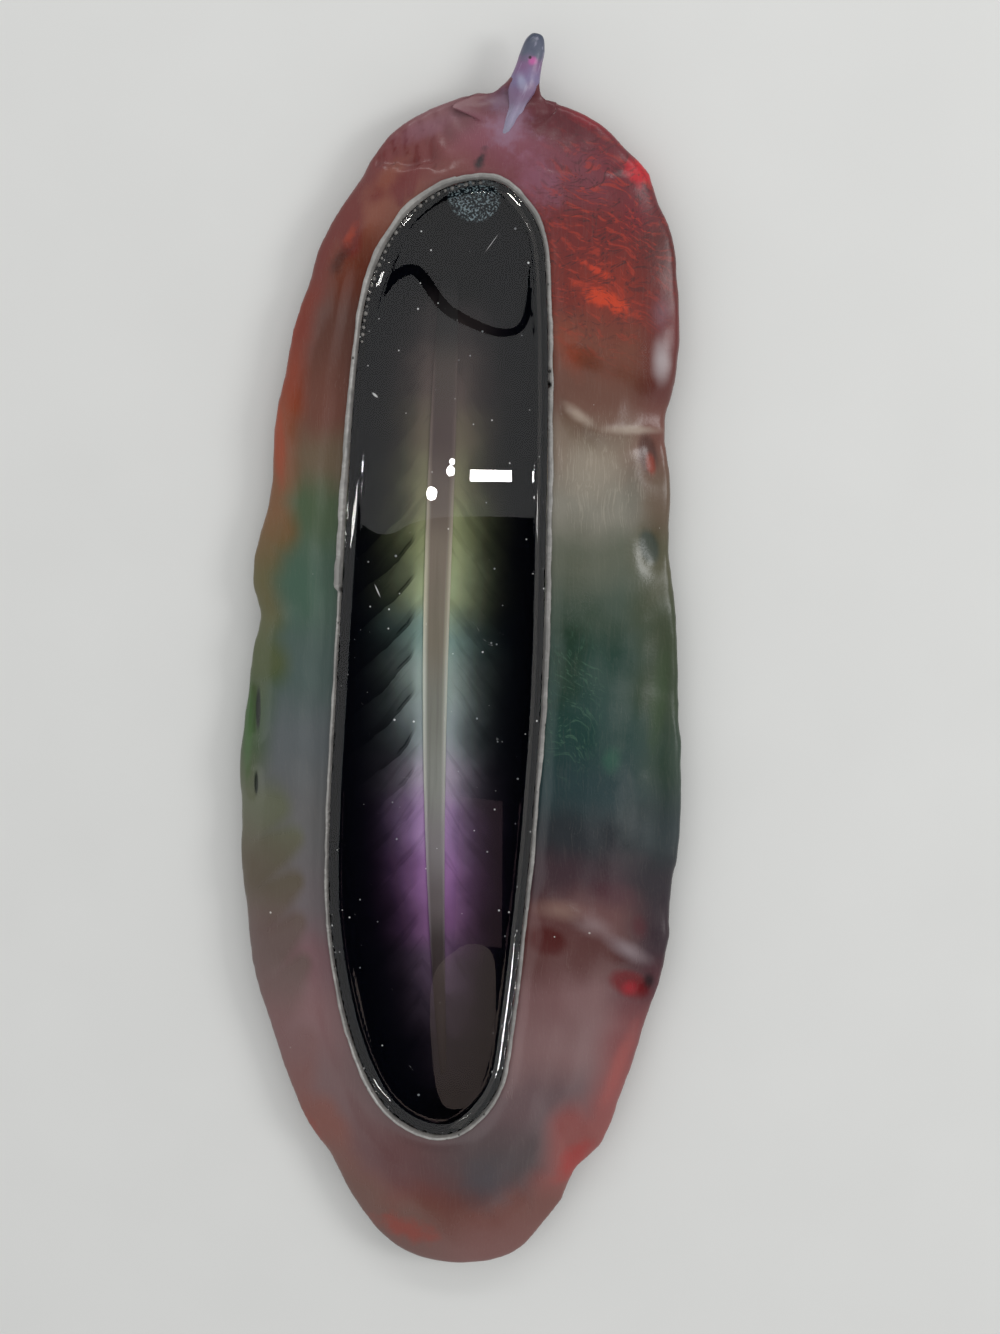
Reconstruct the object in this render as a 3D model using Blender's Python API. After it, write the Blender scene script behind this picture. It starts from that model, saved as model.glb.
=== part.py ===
"""Leaf-shaped resin casting mould with its cured casting still in the well.

Metres, +Z up, stem toward +Y.  The mould rests on the flat foot under its well.
"""

import math

import bmesh
import bpy
import numpy as np

for old in list(bpy.data.objects):
    bpy.data.objects.remove(old, do_unlink=True)

MM = 0.001
GAP = 0.3

# Leaf margin: where it starts and ends, and its left and right edge at a few heights, in mm.
LEAF_TOP = 116.5
LEAF_TIP = -127.8
LEAF_END_X = (3.0, 3.0)
LEAF_ROWS = [
    (114.0, -8.8, 16.8),
    (109.5, -16.9, 24.9),
    (104.0, -21.8, 31.6),
    (95.0, -27.6, 36.1),
    (80.0, -34.0, 39.3),
    (60.0, -38.8, 39.8),
    (35.0, -41.6, 40.0),
    (21.0, -43.9, 41.8),
    (10.0, -43.2, 43.2),
    (-15.0, -45.6, 45.3),
    (-35.0, -45.5, 45.9),
    (-60.0, -42.4, 43.8),
    (-80.0, -36.8, 38.9),
    (-100.0, -28.0, 32.6),
    (-115.0, -18.6, 23.4),
    (-123.5, -10.8, 17.4),
]

# Notches in the ruffled margin: height, depth inward, drop downward, half width, in mm.
LEFT_NOTCHES = [
    (99.0, 0.7, 0.6, 4.0),
    (79.0, 0.5, 0.8, 5.0),
    (60.0, 0.4, 0.8, 5.0),
    (37.0, 0.8, 1.0, 8.0),
    (12.0, 1.2, 0.6, 3.6),
    (-9.0, 0.3, 1.3, 6.0),
    (-30.0, 0.4, 0.8, 5.0),
    (-52.0, 0.3, 0.6, 6.0),
    (-106.0, 0.9, 0.8, 5.0),
]
RIGHT_NOTCHES = [
    (107.0, 0.9, 0.5, 2.6),
    (98.0, 1.3, 0.8, 4.5),
    (54.0, 2.0, 1.4, 7.0),
    (27.0, 0.4, 1.2, 7.0),
    (0.0, 0.3, 0.8, 6.0),
    (-43.0, 0.9, 1.0, 5.0),
    (-68.0, 0.5, 0.8, 6.0),
    (-105.0, 2.2, 0.8, 4.5),
]

# Oval line that the pour lip follows.
OVAL_TOP = 100.6
OVAL_TIP = -96.8
OVAL_END_X = (0.8, -0.8)
OVAL_ROWS = [
    (97.0, -10.3, 8.2),
    (90.0, -17.0, 12.7),
    (78.0, -22.0, 14.4),
    (60.0, -24.0, 15.5),
    (30.0, -25.0, 16.5),
    (0.0, -25.8, 17.1),
    (-30.0, -26.4, 16.5),
    (-50.0, -25.8, 15.5),
    (-70.0, -22.2, 14.1),
    (-84.0, -17.2, 12.4),
    (-92.0, -11.8, 7.9),
]

# Heights above the rest face.
FLOOR_Z = 2.6
SEAT_Z = 11.3
LIP_TOP_Z = 13.6
CREST_Z = 10.6
CORE_TOP_Z = 7.6
POUR_Z = 11.0
MENISCUS_Z = 12.3

# Pour lip: half its width, and the chamfer along its two top edges.
LIP_HALF = 0.7
LIP_CHAMFER = 0.35

# Leaf flange: where it starts outside the oval, how far it falls and how thick it is.
FLANGE_START = 3.0
MARGIN_FALL = 3.4
MARGIN_THICK = 3.0
EXTRA_THICK_AT_LIP = 0.6
EDGE_SHARE = 0.98
EDGE_ROUNDING = 0.55
TOP_SHARES = (0.0, 0.25, 0.5, 0.7, 0.85, 0.94)
UNDER_SHARES = (0.9, 0.7, 0.45, 0.2)

# Sections as (distance outside the oval, height), each listed in the order it is skinned.
INNER_WALL = [
    (-3.4, FLOOR_Z),
    (-2.4, FLOOR_Z + 0.4),
    (-1.9, FLOOR_Z + 1.6),
    (-LIP_HALF, SEAT_Z),
    (LIP_HALF + 0.1, SEAT_Z),
    (1.6, SEAT_Z - 0.45),
]
OUTER_WALL = [(FLANGE_START, 5.4), (1.8, 3.2), (0.6, 1.0), (-0.4, 0.15), (-1.2, 0.0)]
CORE_SECTION = [
    (-3.8, FLOOR_Z + GAP),
    (-2.8, FLOOR_Z + 0.75),
    (-2.25, FLOOR_Z + 1.8),
    (-1.75, CORE_TOP_Z - 0.3),
    (-2.05, CORE_TOP_Z),
]
CLEAR_SECTION = [
    (-2.0, CORE_TOP_Z + GAP),
    (-1.7, CORE_TOP_Z + GAP + 0.3),
    (-1.05, SEAT_Z + 0.1),
    (-1.05, MENISCUS_Z - 0.1),
    (-1.2, MENISCUS_Z),
    (-1.6, POUR_Z + 0.82),
    (-2.1, POUR_Z + 0.45),
    (-2.7, POUR_Z + 0.18),
    (-3.4, POUR_Z + 0.04),
    (-4.4, POUR_Z),
]

# A flat end is closed by a ring at this scale and a fan.
CAP_SCALE = 0.5

# Stem: middle line, half width and half height at each of its stations, in mm.
STEM_SPINE = [
    (0.9, 104.5, 9.4),
    (2.4, 106.8, 9.2),
    (4.3, 110.0, 9.0),
    (5.9, 113.5, 8.7),
    (6.8, 117.0, 8.3),
    (7.6, 120.5, 7.9),
    (8.4, 124.3, 7.6),
    (8.8, 126.5, 7.4),
    (9.0, 127.8, 7.3),
]
STEM_WIDTH = (1.0, 1.6, 2.4, 3.0, 3.2, 2.6, 2.35, 1.9, 1.0)
STEM_HEIGHT = (0.9, 1.5, 2.1, 2.4, 2.4, 2.1, 1.9, 1.6, 0.9)
STEM_SIDES = 16
STEM_CLEARANCE = GAP + 0.05

# Midrib and side veins of the casting.
MIDRIB_TOP = 84.0
MIDRIB_TIP = -84.0
MIDRIB_Z = 7.1
MIDRIB_X = -5.9
MIDRIB_BEND = 3.4
MIDRIB_BEND_Y = 30.0
MIDRIB_BEND_LENGTH = 90.0
MIDRIB_HALF = 2.6
MIDRIB_FLARE = 0.012
MIDRIB_HALF_HEIGHT = 0.5
VEIN_COUNT = 11
VEIN_TOP = 31.0
VEIN_PITCH = 8.0
VEIN_REACH = 8.0
VEIN_FALL = 7.0
VEIN_Z = 7.15
VEIN_HALF_WIDTH = 0.8
VEIN_HALF_HEIGHT = 0.45
VEIN_START = 1.2
VEIN_STATIONS = 6
MIDRIB_STATIONS = 15
MIDRIB_SIDES = 14
MIDRIB_CLEARANCE = GAP + 0.03

LEAF_POINTS = 132
OVAL_POINTS = 96


def collection(name, hidden):
    made = bpy.data.collections.new(name)
    bpy.context.scene.collection.children.link(made)
    made.hide_render = hidden
    return made


PARTS = collection("leaf_casting_mould", False)


def material(name, colour, roughness, transmission=0.0):
    made = bpy.data.materials.new(name)
    made.use_nodes = True
    shader = made.node_tree.nodes["Principled BSDF"]
    shader.inputs["Base Color"].default_value = (*colour, 1.0)
    shader.inputs["Roughness"].default_value = roughness
    shader.inputs["Transmission Weight"].default_value = transmission
    return made


def loop(top, tip, end_x, rows, count):
    """Closed loop of points, smooth through the rows, starting at the top and turning clockwise."""
    middle = (top + tip) / 2
    half = (top - tip) / 2
    right = [(math.acos((y - middle) / half), x) for y, _, x in rows]
    left = [(math.tau - math.acos((y - middle) / half), x) for y, x, _ in reversed(rows)]
    knots = np.array([(0.0, end_x[0]), *right, (math.pi, end_x[1]), *left])
    angle, value = knots[:, 0], knots[:, 1]
    before = np.roll(angle, 1)
    before[0] -= math.tau
    after = np.roll(angle, -1)
    after[-1] += math.tau
    slope = (np.roll(value, -1) - np.roll(value, 1)) / (after - before)
    points = []
    for turn in np.arange(count) * math.tau / count:
        at = np.searchsorted(angle, turn, side="right") - 1
        nxt = (at + 1) % len(angle)
        span = after[at] - angle[at]
        t = (turn - angle[at]) / span
        x = (
            (2 * t**3 - 3 * t**2 + 1) * value[at]
            + (t**3 - 2 * t**2 + t) * span * slope[at]
            + (3 * t**2 - 2 * t**3) * value[nxt]
            + (t**3 - t**2) * span * slope[nxt]
        )
        points.append((x, middle + half * math.cos(turn)))
    return np.array(points)


def outward(points):
    """Unit normals of a clockwise loop, pointing away from its middle."""
    along = np.roll(points, -1, axis=0) - np.roll(points, 1, axis=0)
    normal = np.column_stack([-along[:, 1], along[:, 0]])
    return normal / np.linalg.norm(normal, axis=1)[:, None]


def grown(points, distance):
    return points + outward(points) * distance


def ring(points, height):
    heights = np.broadcast_to(height, len(points))
    return np.column_stack([points, heights])


def shrunk(points, scale, height):
    middle = points.mean(axis=0)
    return ring(middle + (points - middle) * scale, height)


def section(line, profile):
    """Rings that follow a loop at each (distance outside it, height) of a profile."""
    return [ring(grown(line, distance), height) for distance, height in profile]


def capped(line, profile):
    """A section with a smaller ring at both ends, so that its flat ends have no long thin faces."""
    first, last = profile[0], profile[-1]
    return [
        shrunk(grown(line, first[0]), CAP_SCALE, first[1]),
        *section(line, profile),
        shrunk(grown(line, last[0]), CAP_SCALE, last[1]),
    ]


def loft(name, rings, look, closed=False, target=None):
    """Skin through equal rings; the ends are closed by fans, or joined when the section is closed."""
    count = len(rings[0])
    mesh = bmesh.new()
    rows = [[mesh.verts.new(point * MM) for point in level] for level in rings]
    pairs = list(zip(rows, rows[1:]))
    if closed:
        pairs.append((rows[-1], rows[0]))
    for low, high in pairs:
        for i in range(count):
            j = (i + 1) % count
            mesh.faces.new((low[i], low[j], high[j], high[i]))
    if not closed:
        for row in (rows[0], rows[-1]):
            centre = np.mean([vert.co for vert in row], axis=0)
            hub = mesh.verts.new(centre)
            for i in range(count):
                mesh.faces.new((row[i], row[(i + 1) % count], hub))
    bmesh.ops.recalc_face_normals(mesh, faces=mesh.faces)
    data = bpy.data.meshes.new(name)
    mesh.to_mesh(data)
    mesh.free()
    made = bpy.data.objects.new(name, data)
    (target or PARTS).objects.link(made)
    data.shade_smooth()
    data.set_sharp_from_angle(angle=math.radians(40))
    if look is not None:
        data.materials.append(look)
    return made


def rod(name, spine, half_width, half_height, look, grow=0.0, sides=8, target=None):
    """Tapered bar with an oval section along a spine of points in mm."""
    spine = np.array(spine, dtype=float)
    along = np.gradient(spine, axis=0)
    along /= np.linalg.norm(along, axis=1)[:, None]
    spine[0] -= along[0] * grow
    spine[-1] += along[-1] * grow
    across = np.column_stack([along[:, 1], -along[:, 0], np.zeros(len(spine))])
    across /= np.linalg.norm(across, axis=1)[:, None]
    turns = np.arange(sides) * math.tau / sides
    rings = []
    for centre, side, wide, tall in zip(spine, across, half_width, half_height):
        lift = np.column_stack([np.zeros(sides), np.zeros(sides), np.sin(turns) * (tall + grow)])
        rings.append(centre + np.outer(np.cos(turns) * (wide + grow), side) + lift)
    return loft(name, rings, look, target=target)


def subtract(body, cutters):
    cut = body.modifiers.new("cut", "BOOLEAN")
    cut.operation = "DIFFERENCE"
    cut.operand_type = "COLLECTION"
    cut.collection = cutters
    cut.solver = "EXACT"


# ---- mould_body: leaf-shaped flange with the well hanging under it ----

body_look = material("satin_resin", (0.18, 0.05, 0.05), 0.45)
margin = loop(LEAF_TOP, LEAF_TIP, LEAF_END_X, LEAF_ROWS, LEAF_POINTS)
inward = -outward(margin)
drop = np.zeros(LEAF_POINTS)
for side, notches in ((-1, LEFT_NOTCHES), (1, RIGHT_NOTCHES)):
    for height, depth, fall, width in notches:
        here = np.exp(-(((margin[:, 1] - height) / width) ** 2)) * (margin[:, 0] * side > 0)
        margin = margin + inward * (here * depth)[:, None]
        drop = drop + here * fall

oval = loop(OVAL_TOP, OVAL_TIP, OVAL_END_X, OVAL_ROWS, LEAF_POINTS)
foot_of_lip = grown(oval, FLANGE_START)


def flange(share, bottom):
    """Ring on the flange: 0 beside the lip, 1 at the margin."""
    flat = foot_of_lip * (1 - share) + margin * share
    top = CREST_Z - MARGIN_FALL * share**2 - drop * share**2
    if bottom:
        top = top - MARGIN_THICK - EXTRA_THICK_AT_LIP * (1 - share)
    return ring(flat, top)


margin_top = flange(1.0, False)
margin_under = flange(1.0, True)
edge_mid = (margin_top + margin_under) / 2
wall_start = shrunk(grown(oval, INNER_WALL[0][0]), CAP_SCALE, FLOOR_Z)
foot_end = shrunk(grown(oval, OUTER_WALL[-1][0]), CAP_SCALE, 0.0)
body_rings = [
    wall_start,
    *section(oval, INNER_WALL),
    *[flange(share, False) for share in TOP_SHARES],
    flange(EDGE_SHARE, False),
    edge_mid * (1 - EDGE_ROUNDING) + margin_top * EDGE_ROUNDING,
    edge_mid,
    edge_mid * (1 - EDGE_ROUNDING) + margin_under * EDGE_ROUNDING,
    flange(EDGE_SHARE, True),
    *[flange(share, True) for share in UNDER_SHARES],
    *section(oval, OUTER_WALL),
    foot_end,
]
mould_body = loft("mould_body", body_rings, body_look)

# ---- stem: pull tab let into the top of the leaf ----

stem_look = material("grey_resin", (0.25, 0.22, 0.28), 0.4)
stem = (STEM_SPINE, STEM_WIDTH, STEM_HEIGHT)
rod("stem", *stem, stem_look, sides=STEM_SIDES)
stem_cutters = collection("stem_cutters", True)
rod("stem_cutter", *stem, None, STEM_CLEARANCE, STEM_SIDES, stem_cutters)
subtract(mould_body, stem_cutters)

# ---- pour_lip: thin raised rim round the well ----

lip_look = material("pale_resin", (0.6, 0.58, 0.58), 0.5)
LIP_SECTION = [
    (-LIP_HALF, SEAT_Z + GAP),
    (-LIP_HALF, LIP_TOP_Z - LIP_CHAMFER),
    (-LIP_HALF + LIP_CHAMFER, LIP_TOP_Z),
    (LIP_HALF - LIP_CHAMFER, LIP_TOP_Z),
    (LIP_HALF, LIP_TOP_Z - LIP_CHAMFER),
    (LIP_HALF, SEAT_Z + GAP),
]
loft("pour_lip", section(oval, LIP_SECTION), lip_look, closed=True)

# ---- black_core: dark cast body of the casting ----

core_look = material("black_resin", (0.01, 0.01, 0.015), 0.15)
well = loop(OVAL_TOP, OVAL_TIP, OVAL_END_X, OVAL_ROWS, OVAL_POINTS)
black_core = loft("black_core", capped(well, CORE_SECTION), core_look)
relief_cutters = collection("relief_cutters", True)

# ---- midrib_inlay: tapering mica strip down the middle ----

mica_look = material("mica_resin", (0.35, 0.33, 0.3), 0.3)


def midrib_x(y):
    """The midrib runs straight in the upper half and bends toward the tip below."""
    below = max(MIDRIB_BEND_Y - y, 0.0) / MIDRIB_BEND_LENGTH
    return MIDRIB_X + MIDRIB_BEND * below**2


def midrib_half(y):
    return MIDRIB_HALF + MIDRIB_FLARE * y


steps = np.linspace(MIDRIB_TOP, MIDRIB_TIP, MIDRIB_STATIONS)
midrib_spine = [(midrib_x(y), y, MIDRIB_Z) for y in steps]
ends = np.sin(np.linspace(0.12, math.pi - 0.12, len(steps))) ** 0.4
midrib_width = [midrib_half(y) * end for y, end in zip(steps, ends)]
midrib_height = MIDRIB_HALF_HEIGHT * ends
midrib = (midrib_spine, midrib_width, midrib_height)
rod("midrib_inlay", *midrib, mica_look, sides=MIDRIB_SIDES)
rod("midrib_cutter", *midrib, None, MIDRIB_CLEARANCE, MIDRIB_SIDES, relief_cutters)

# ---- vein_left_N and vein_right_N: side veins leaving the midrib steeply and curving outward ----

share = np.linspace(0, 1, VEIN_STATIONS)
vein_width = VEIN_HALF_WIDTH * (1 - 0.6 * share)
vein_height = VEIN_HALF_HEIGHT * (1 - 0.45 * share)
for side, word in ((-1, "left"), (1, "right")):
    for number in range(VEIN_COUNT):
        root_y = VEIN_TOP - VEIN_PITCH * number
        root_x = midrib_x(root_y) + side * (midrib_half(root_y) + VEIN_START)
        reach = VEIN_REACH * (1 - 0.02 * number)
        across = root_x + side * reach * share**1.3
        along = root_y - VEIN_FALL * share**0.9
        vein = (np.column_stack([across, along, np.full(len(share), VEIN_Z)]), vein_width, vein_height)
        name = f"vein_{word}_{number + 1}"
        rod(name, *vein, mica_look)
        rod(name + "_cutter", *vein, None, GAP, 8, relief_cutters)

subtract(black_core, relief_cutters)

# ---- clear_top: glossy clear layer, drawn up the well wall in a meniscus ----

clear_look = material("clear_resin", (0.9, 0.92, 0.92), 0.02, 1.0)
loft("clear_top", capped(well, CLEAR_SECTION), clear_look)

for group in (stem_cutters, relief_cutters):
    for helper in group.objects:
        helper.hide_render = True
        helper.display_type = "WIRE"
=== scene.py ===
import math

import bpy
import numpy as np
from mathutils import Matrix, Vector, noise


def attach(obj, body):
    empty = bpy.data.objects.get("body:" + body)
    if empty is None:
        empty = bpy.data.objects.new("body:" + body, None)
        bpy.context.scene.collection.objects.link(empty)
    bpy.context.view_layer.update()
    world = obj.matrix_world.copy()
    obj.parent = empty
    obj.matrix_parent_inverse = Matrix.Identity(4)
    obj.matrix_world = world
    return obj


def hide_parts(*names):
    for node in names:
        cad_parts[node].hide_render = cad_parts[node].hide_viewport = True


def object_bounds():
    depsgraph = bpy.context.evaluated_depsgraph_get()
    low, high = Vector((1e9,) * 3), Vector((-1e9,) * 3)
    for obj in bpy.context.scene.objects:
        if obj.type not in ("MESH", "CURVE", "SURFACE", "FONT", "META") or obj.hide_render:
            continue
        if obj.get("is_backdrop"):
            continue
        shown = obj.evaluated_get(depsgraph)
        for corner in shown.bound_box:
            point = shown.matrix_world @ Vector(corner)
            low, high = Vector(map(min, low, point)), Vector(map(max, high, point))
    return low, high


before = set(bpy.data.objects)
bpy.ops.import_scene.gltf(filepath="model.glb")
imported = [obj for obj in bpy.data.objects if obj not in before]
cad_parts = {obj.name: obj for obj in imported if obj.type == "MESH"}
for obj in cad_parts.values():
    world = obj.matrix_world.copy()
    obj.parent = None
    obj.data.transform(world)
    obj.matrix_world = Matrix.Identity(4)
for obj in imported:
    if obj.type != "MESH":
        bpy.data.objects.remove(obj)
cad_low, cad_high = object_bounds()

# ---------------------------------------------------------------- leaf flange and well
# The mould itself: a leaf cast in satin resin, tinted with mica powders, with an oval well
# hanging under it.  The piece starts as the CAD solid, is remeshed evenly and then worked:
# soft ruffles, finger dimples near the margin, creases, and veins underneath.

MM = 0.001
LEAF_VOXEL = 0.8 * MM
CREST_Z = 10.6
MARGIN_FALL = 3.4
LIP_HALF = 0.7
LIP_CHAMFER = 0.35
SEAT_Z = 11.3
FOOT_Z = 0.12
MARGIN_SECTORS = 200
STEM_CUT = (0.007, 0.1215, 0.0)
STEM_FROM_Y = 102.0
VEIN_UNDER = 0.45
VEIN_UNDER_PITCH = 9.0
VEIN_UNDER_SLANT = 0.7


def choose_only(piece):
    bpy.ops.object.select_all(action="DESELECT")
    piece.select_set(True)
    bpy.context.view_layer.objects.active = piece


def cad_copy(name, *nodes):
    """A new piece that starts as the merged solids of CAD nodes."""
    copies = []
    for node in nodes:
        made = bpy.data.objects.new(name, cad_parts[node].data.copy())
        bpy.context.scene.collection.objects.link(made)
        copies.append(made)
    choose_only(copies[0])
    for made in copies:
        made.select_set(True)
    if len(copies) > 1:
        bpy.ops.object.join()
    piece = bpy.context.object
    piece.name = name
    piece.data.name = name
    piece.data.materials.clear()
    bpy.ops.object.mode_set(mode="EDIT")
    bpy.ops.mesh.select_all(action="SELECT")
    bpy.ops.mesh.remove_doubles(threshold=0.00001)
    bpy.ops.object.mode_set(mode="OBJECT")
    return piece


def finish_modifier(piece, kind, **settings):
    choose_only(piece)
    modifier = piece.modifiers.new(kind.lower(), kind)
    for key, value in settings.items():
        setattr(modifier, key, value)
    bpy.ops.object.modifier_apply(modifier=modifier.name)


def points_mm(piece):
    found = np.empty(len(piece.data.vertices) * 3, np.float32)
    piece.data.vertices.foreach_get("co", found)
    return found.reshape(-1, 3).astype(float) / MM


def normals_of(piece):
    found = np.empty(len(piece.data.vertices) * 3, np.float32)
    piece.data.vertices.foreach_get("normal", found)
    return found.reshape(-1, 3).astype(float)


def place_points(piece, points):
    """Puts the points, kept inside the CAD model's box, and shades the piece smooth."""
    points = np.clip(points, np.array(cad_low) / MM, np.array(cad_high) / MM)
    piece.data.vertices.foreach_set("co", (points * MM).astype(np.float32).ravel())
    piece.data.update()
    choose_only(piece)
    bpy.ops.object.shade_smooth()


def store(piece, name, values):
    attribute = piece.data.attributes.new(name, "FLOAT", "POINT")
    attribute.data.foreach_set("value", np.asarray(values, np.float32))


def smooth(low, high, value):
    t = np.clip((value - low) / (high - low), 0, 1)
    return t * t * (3 - 2 * t)


def ripple(points, size, seed):
    """Smooth random hills, about one to each size in mm, from -1 to 1."""
    shift = Vector((seed * 7.3, seed * 3.1, seed * 5.7))
    return np.array([noise.noise(Vector(point) / size + shift) for point in points.tolist()])


def beside(flat, line):
    """Signed distance outside a closed line that turns left, with the nearest point on it."""
    best = np.full(len(flat), 1e9)
    near = np.zeros((len(flat), 2))
    away = np.zeros((len(flat), 2))
    for start, end in zip(line, np.roll(line, -1, axis=0)):
        along = end - start
        share = np.clip(((flat - start) @ along) / (along @ along), 0, 1)
        foot = start + share[:, None] * along
        gap = np.linalg.norm(flat - foot, axis=1)
        closer = gap < best
        best[closer] = gap[closer]
        near[closer] = foot[closer]
        away[closer] = (along[1], -along[0]) / np.linalg.norm(along)
    side = np.sign(((flat - near) * away).sum(1))
    return best * np.where(side == 0, 1, side), near, away


def to_segment(flat, start, end):
    """Distance from a short straight line in plan."""
    start, along = np.array(start), np.array(end) - np.array(start)
    share = np.clip(((flat - start) @ along) / (along @ along), 0, 1)
    return np.linalg.norm(flat - start - share[:, None] * along, axis=1)


def turning_left(points, middle):
    turn = np.arctan2(points[:, 1] - middle[1], (points[:, 0] - middle[0]) * 4)
    return points[np.argsort(turn)]


def outline(points, sectors):
    """Outermost point of each sector round the middle: the plan outline of a flat piece."""
    middle = (points.min(0) + points.max(0))[:2] / 2
    half = (points.max(0) - points.min(0))[:2] / 2
    scaled = (points[:, :2] - middle) / half
    turn = np.floor((np.arctan2(scaled[:, 1], scaled[:, 0]) / math.tau + 0.5) * sectors)
    size = np.linalg.norm(scaled, axis=1)
    kept = [points[np.flatnonzero(turn == s)][size[turn == s].argmax(), :2] for s in np.unique(turn)]
    return np.array(kept)


# Middle line of the pour lip, from the CAD lip: halfway between its two top edges.
lip = cad_copy("trimmed_lip", "pour_lip")
lip_points = points_mm(lip)
lip_top = lip_points[:, 2].max()
shoulder = np.abs(lip_points[:, 2] - lip_top + LIP_CHAMFER) < 0.05
lip_middle = (lip_points.min(0) + lip_points.max(0))[:2] / 2
facing_out = (normals_of(lip)[:, :2] * (lip_points[:, :2] - lip_middle)).sum(1) > 0
outer_edge = turning_left(lip_points[shoulder & facing_out][:, :2], lip_middle)
inner_edge = lip_points[shoulder & ~facing_out][:, :2]
partner = [inner_edge[np.linalg.norm(inner_edge - spot, axis=1).argmin()] for spot in outer_edge]
oval = (outer_edge + np.array(partner)) / 2
margin = outline(points_mm(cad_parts["mould_body"]), MARGIN_SECTORS)

leaf = cad_copy("leaf_flange", "mould_body", "stem")
choose_only(leaf)
bpy.ops.object.mode_set(mode="EDIT")
bpy.ops.mesh.select_all(action="SELECT")
bpy.ops.mesh.bisect(plane_co=STEM_CUT, plane_no=(0.3, 1, 0), use_fill=True, clear_outer=True)
bpy.ops.object.mode_set(mode="OBJECT")
finish_modifier(leaf, "REMESH", mode="VOXEL", voxel_size=LEAF_VOXEL, adaptivity=0)
finish_modifier(leaf, "SMOOTH", factor=0.5, iterations=4)

points = points_mm(leaf)
normals = normals_of(leaf)
out, _, away = beside(points[:, :2], oval)
to_margin = beside(points[:, :2], margin)[0]
reach = np.clip(out, 0, None) / (np.clip(out, 0, None) + np.abs(to_margin) + 0.001)
facing_up = smooth(0.1, 0.5, normals[:, 2]) * smooth(1.2, 3.0, out)
facing_down = smooth(0.1, 0.5, -normals[:, 2]) * smooth(3.5, 7.0, out)
flange = smooth(1.5, 5.0, out)
in_plan = points * [1, 1, 0]
lift = flange * (0.5 * ripple(in_plan, 15.0, 1) + 0.22 * ripple(in_plan, 6.5, 2))

# The stem's root melts into the leaf in a flare, which is wider on the stem's left.
ROOT_LINE = ([104.5, 110.0, 117.0, 120.5], [0.9, 4.3, 6.8, 7.6])
FLARE = ([111.0, 113.5, 115.5, 117.0, 118.6, 120.5, 122.5], [0.0, 1.9, 1.1, 0.55, 0.2, -0.05, -0.3])
from_stem = points[:, 0] - np.interp(points[:, 1], *ROOT_LINE)
on_left = smooth(0.5, -0.5, from_stem)
flare = np.interp(points[:, 1], *FLARE)
flare = flare * (0.35 + 0.65 * on_left) * smooth(8.0, 4.0, np.abs(from_stem))
points[:, 0] += from_stem * flare

# The CAD stem that shows above the leaf is taken down, since the stem is a piece of its own.
surface = CREST_Z - MARGIN_FALL * reach**2
proud = np.clip(points[:, 2] - surface - 0.2, 0, None) * (points[:, 1] > STEM_FROM_Y) * (out > 3)
points[:, 2] -= 0.8 * proud * smooth(120.0, 115.5, points[:, 1])
points[:, 2] -= 0.6 * smooth(117.0, 120.5, points[:, 1]) * smooth(6.5, 8.5, points[:, 2])

# Finger marks and creases on the upper face: (start, end, half width, height), in mm.
WORKED = [
    ((34.6, 51.0), (36.0, 45.6), 2.2, -0.8),
    ((35.6, 32.4), (37.2, 27.4), 2.2, -0.7),
    ((36.0, 72.0), (36.6, 63.0), 3.4, 1.0),
    ((18.5, 57.2), (25.0, 53.2), 2.6, 0.7),
    ((25.0, 53.2), (38.0, 53.6), 2.4, 0.6),
    ((22.0, 48.5), (31.0, 48.0), 3.4, -0.4),
    ((24.0, 64.5), (31.0, 60.0), 3.6, -0.5),
    ((19.5, 70.5), (24.5, 66.0), 3.0, 0.45),
    ((34.6, 14.0), (35.6, -12.0), 3.2, 0.4),
    ((36.4, -18.0), (37.4, -31.0), 3.0, 0.45),
    ((39.6, 12.0), (40.2, -30.0), 2.6, -0.4),
    ((21.0, -44.8), (27.0, -46.6), 2.8, 0.5),
    ((27.0, -46.6), (38.0, -55.0), 2.6, 0.6),
    ((20.0, -52.0), (24.0, -54.0), 3.6, -0.5),
    ((35.6, -61.0), (38.6, -62.4), 3.2, -0.7),
    ((37.0, -46.0), (40.0, -50.0), 3.0, -0.4),
    ((-42.4, -3.4), (-42.2, -12.6), 1.3, -0.8),
    ((-42.0, -21.0), (-42.0, -26.0), 1.1, -0.6),
    ((-39.4, 9.0), (-39.0, -10.0), 2.4, 0.35),
    ((-36.6, 60.0), (-37.6, 50.0), 2.4, 0.4),
    ((-31.5, 79.0), (-34.0, 70.0), 2.8, -0.4),
    ((-21.0, 95.0), (-13.0, 101.0), 3.4, -0.35),
    ((27.0, 102.0), (31.0, 96.0), 3.2, 0.4),
]
for start, end, width, height in WORKED:
    gap = to_segment(points[:, :2], start, end)
    lift += height * np.exp(-((gap / width) ** 2)) * facing_up

# Underneath the leaf's own veins stand out of the flange.
along_veins = (points[:, 1] + VEIN_UNDER_SLANT * out) / VEIN_UNDER_PITCH
vein_under = np.maximum(np.cos(along_veins * math.tau), 0) ** 6
lift -= VEIN_UNDER * vein_under * facing_down * smooth(0.99, 0.85, reach)
points[:, 2] += lift

# The margin is scalloped, and the well's foot stays flat.
in_plan = points * [1, 1, 0]
scallop = 0.45 * ripple(in_plan, 13.0, 3) + 0.18 * ripple(in_plan, 4.5, 7)
points[:, :2] += away * (scallop * smooth(0.75, 1.0, reach) * flange)[:, None]
points[:, 2] = np.where(points[:, 2] < FOOT_Z, 0.0, points[:, 2])
place_points(leaf, points)
store(leaf, "reach", reach)


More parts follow.
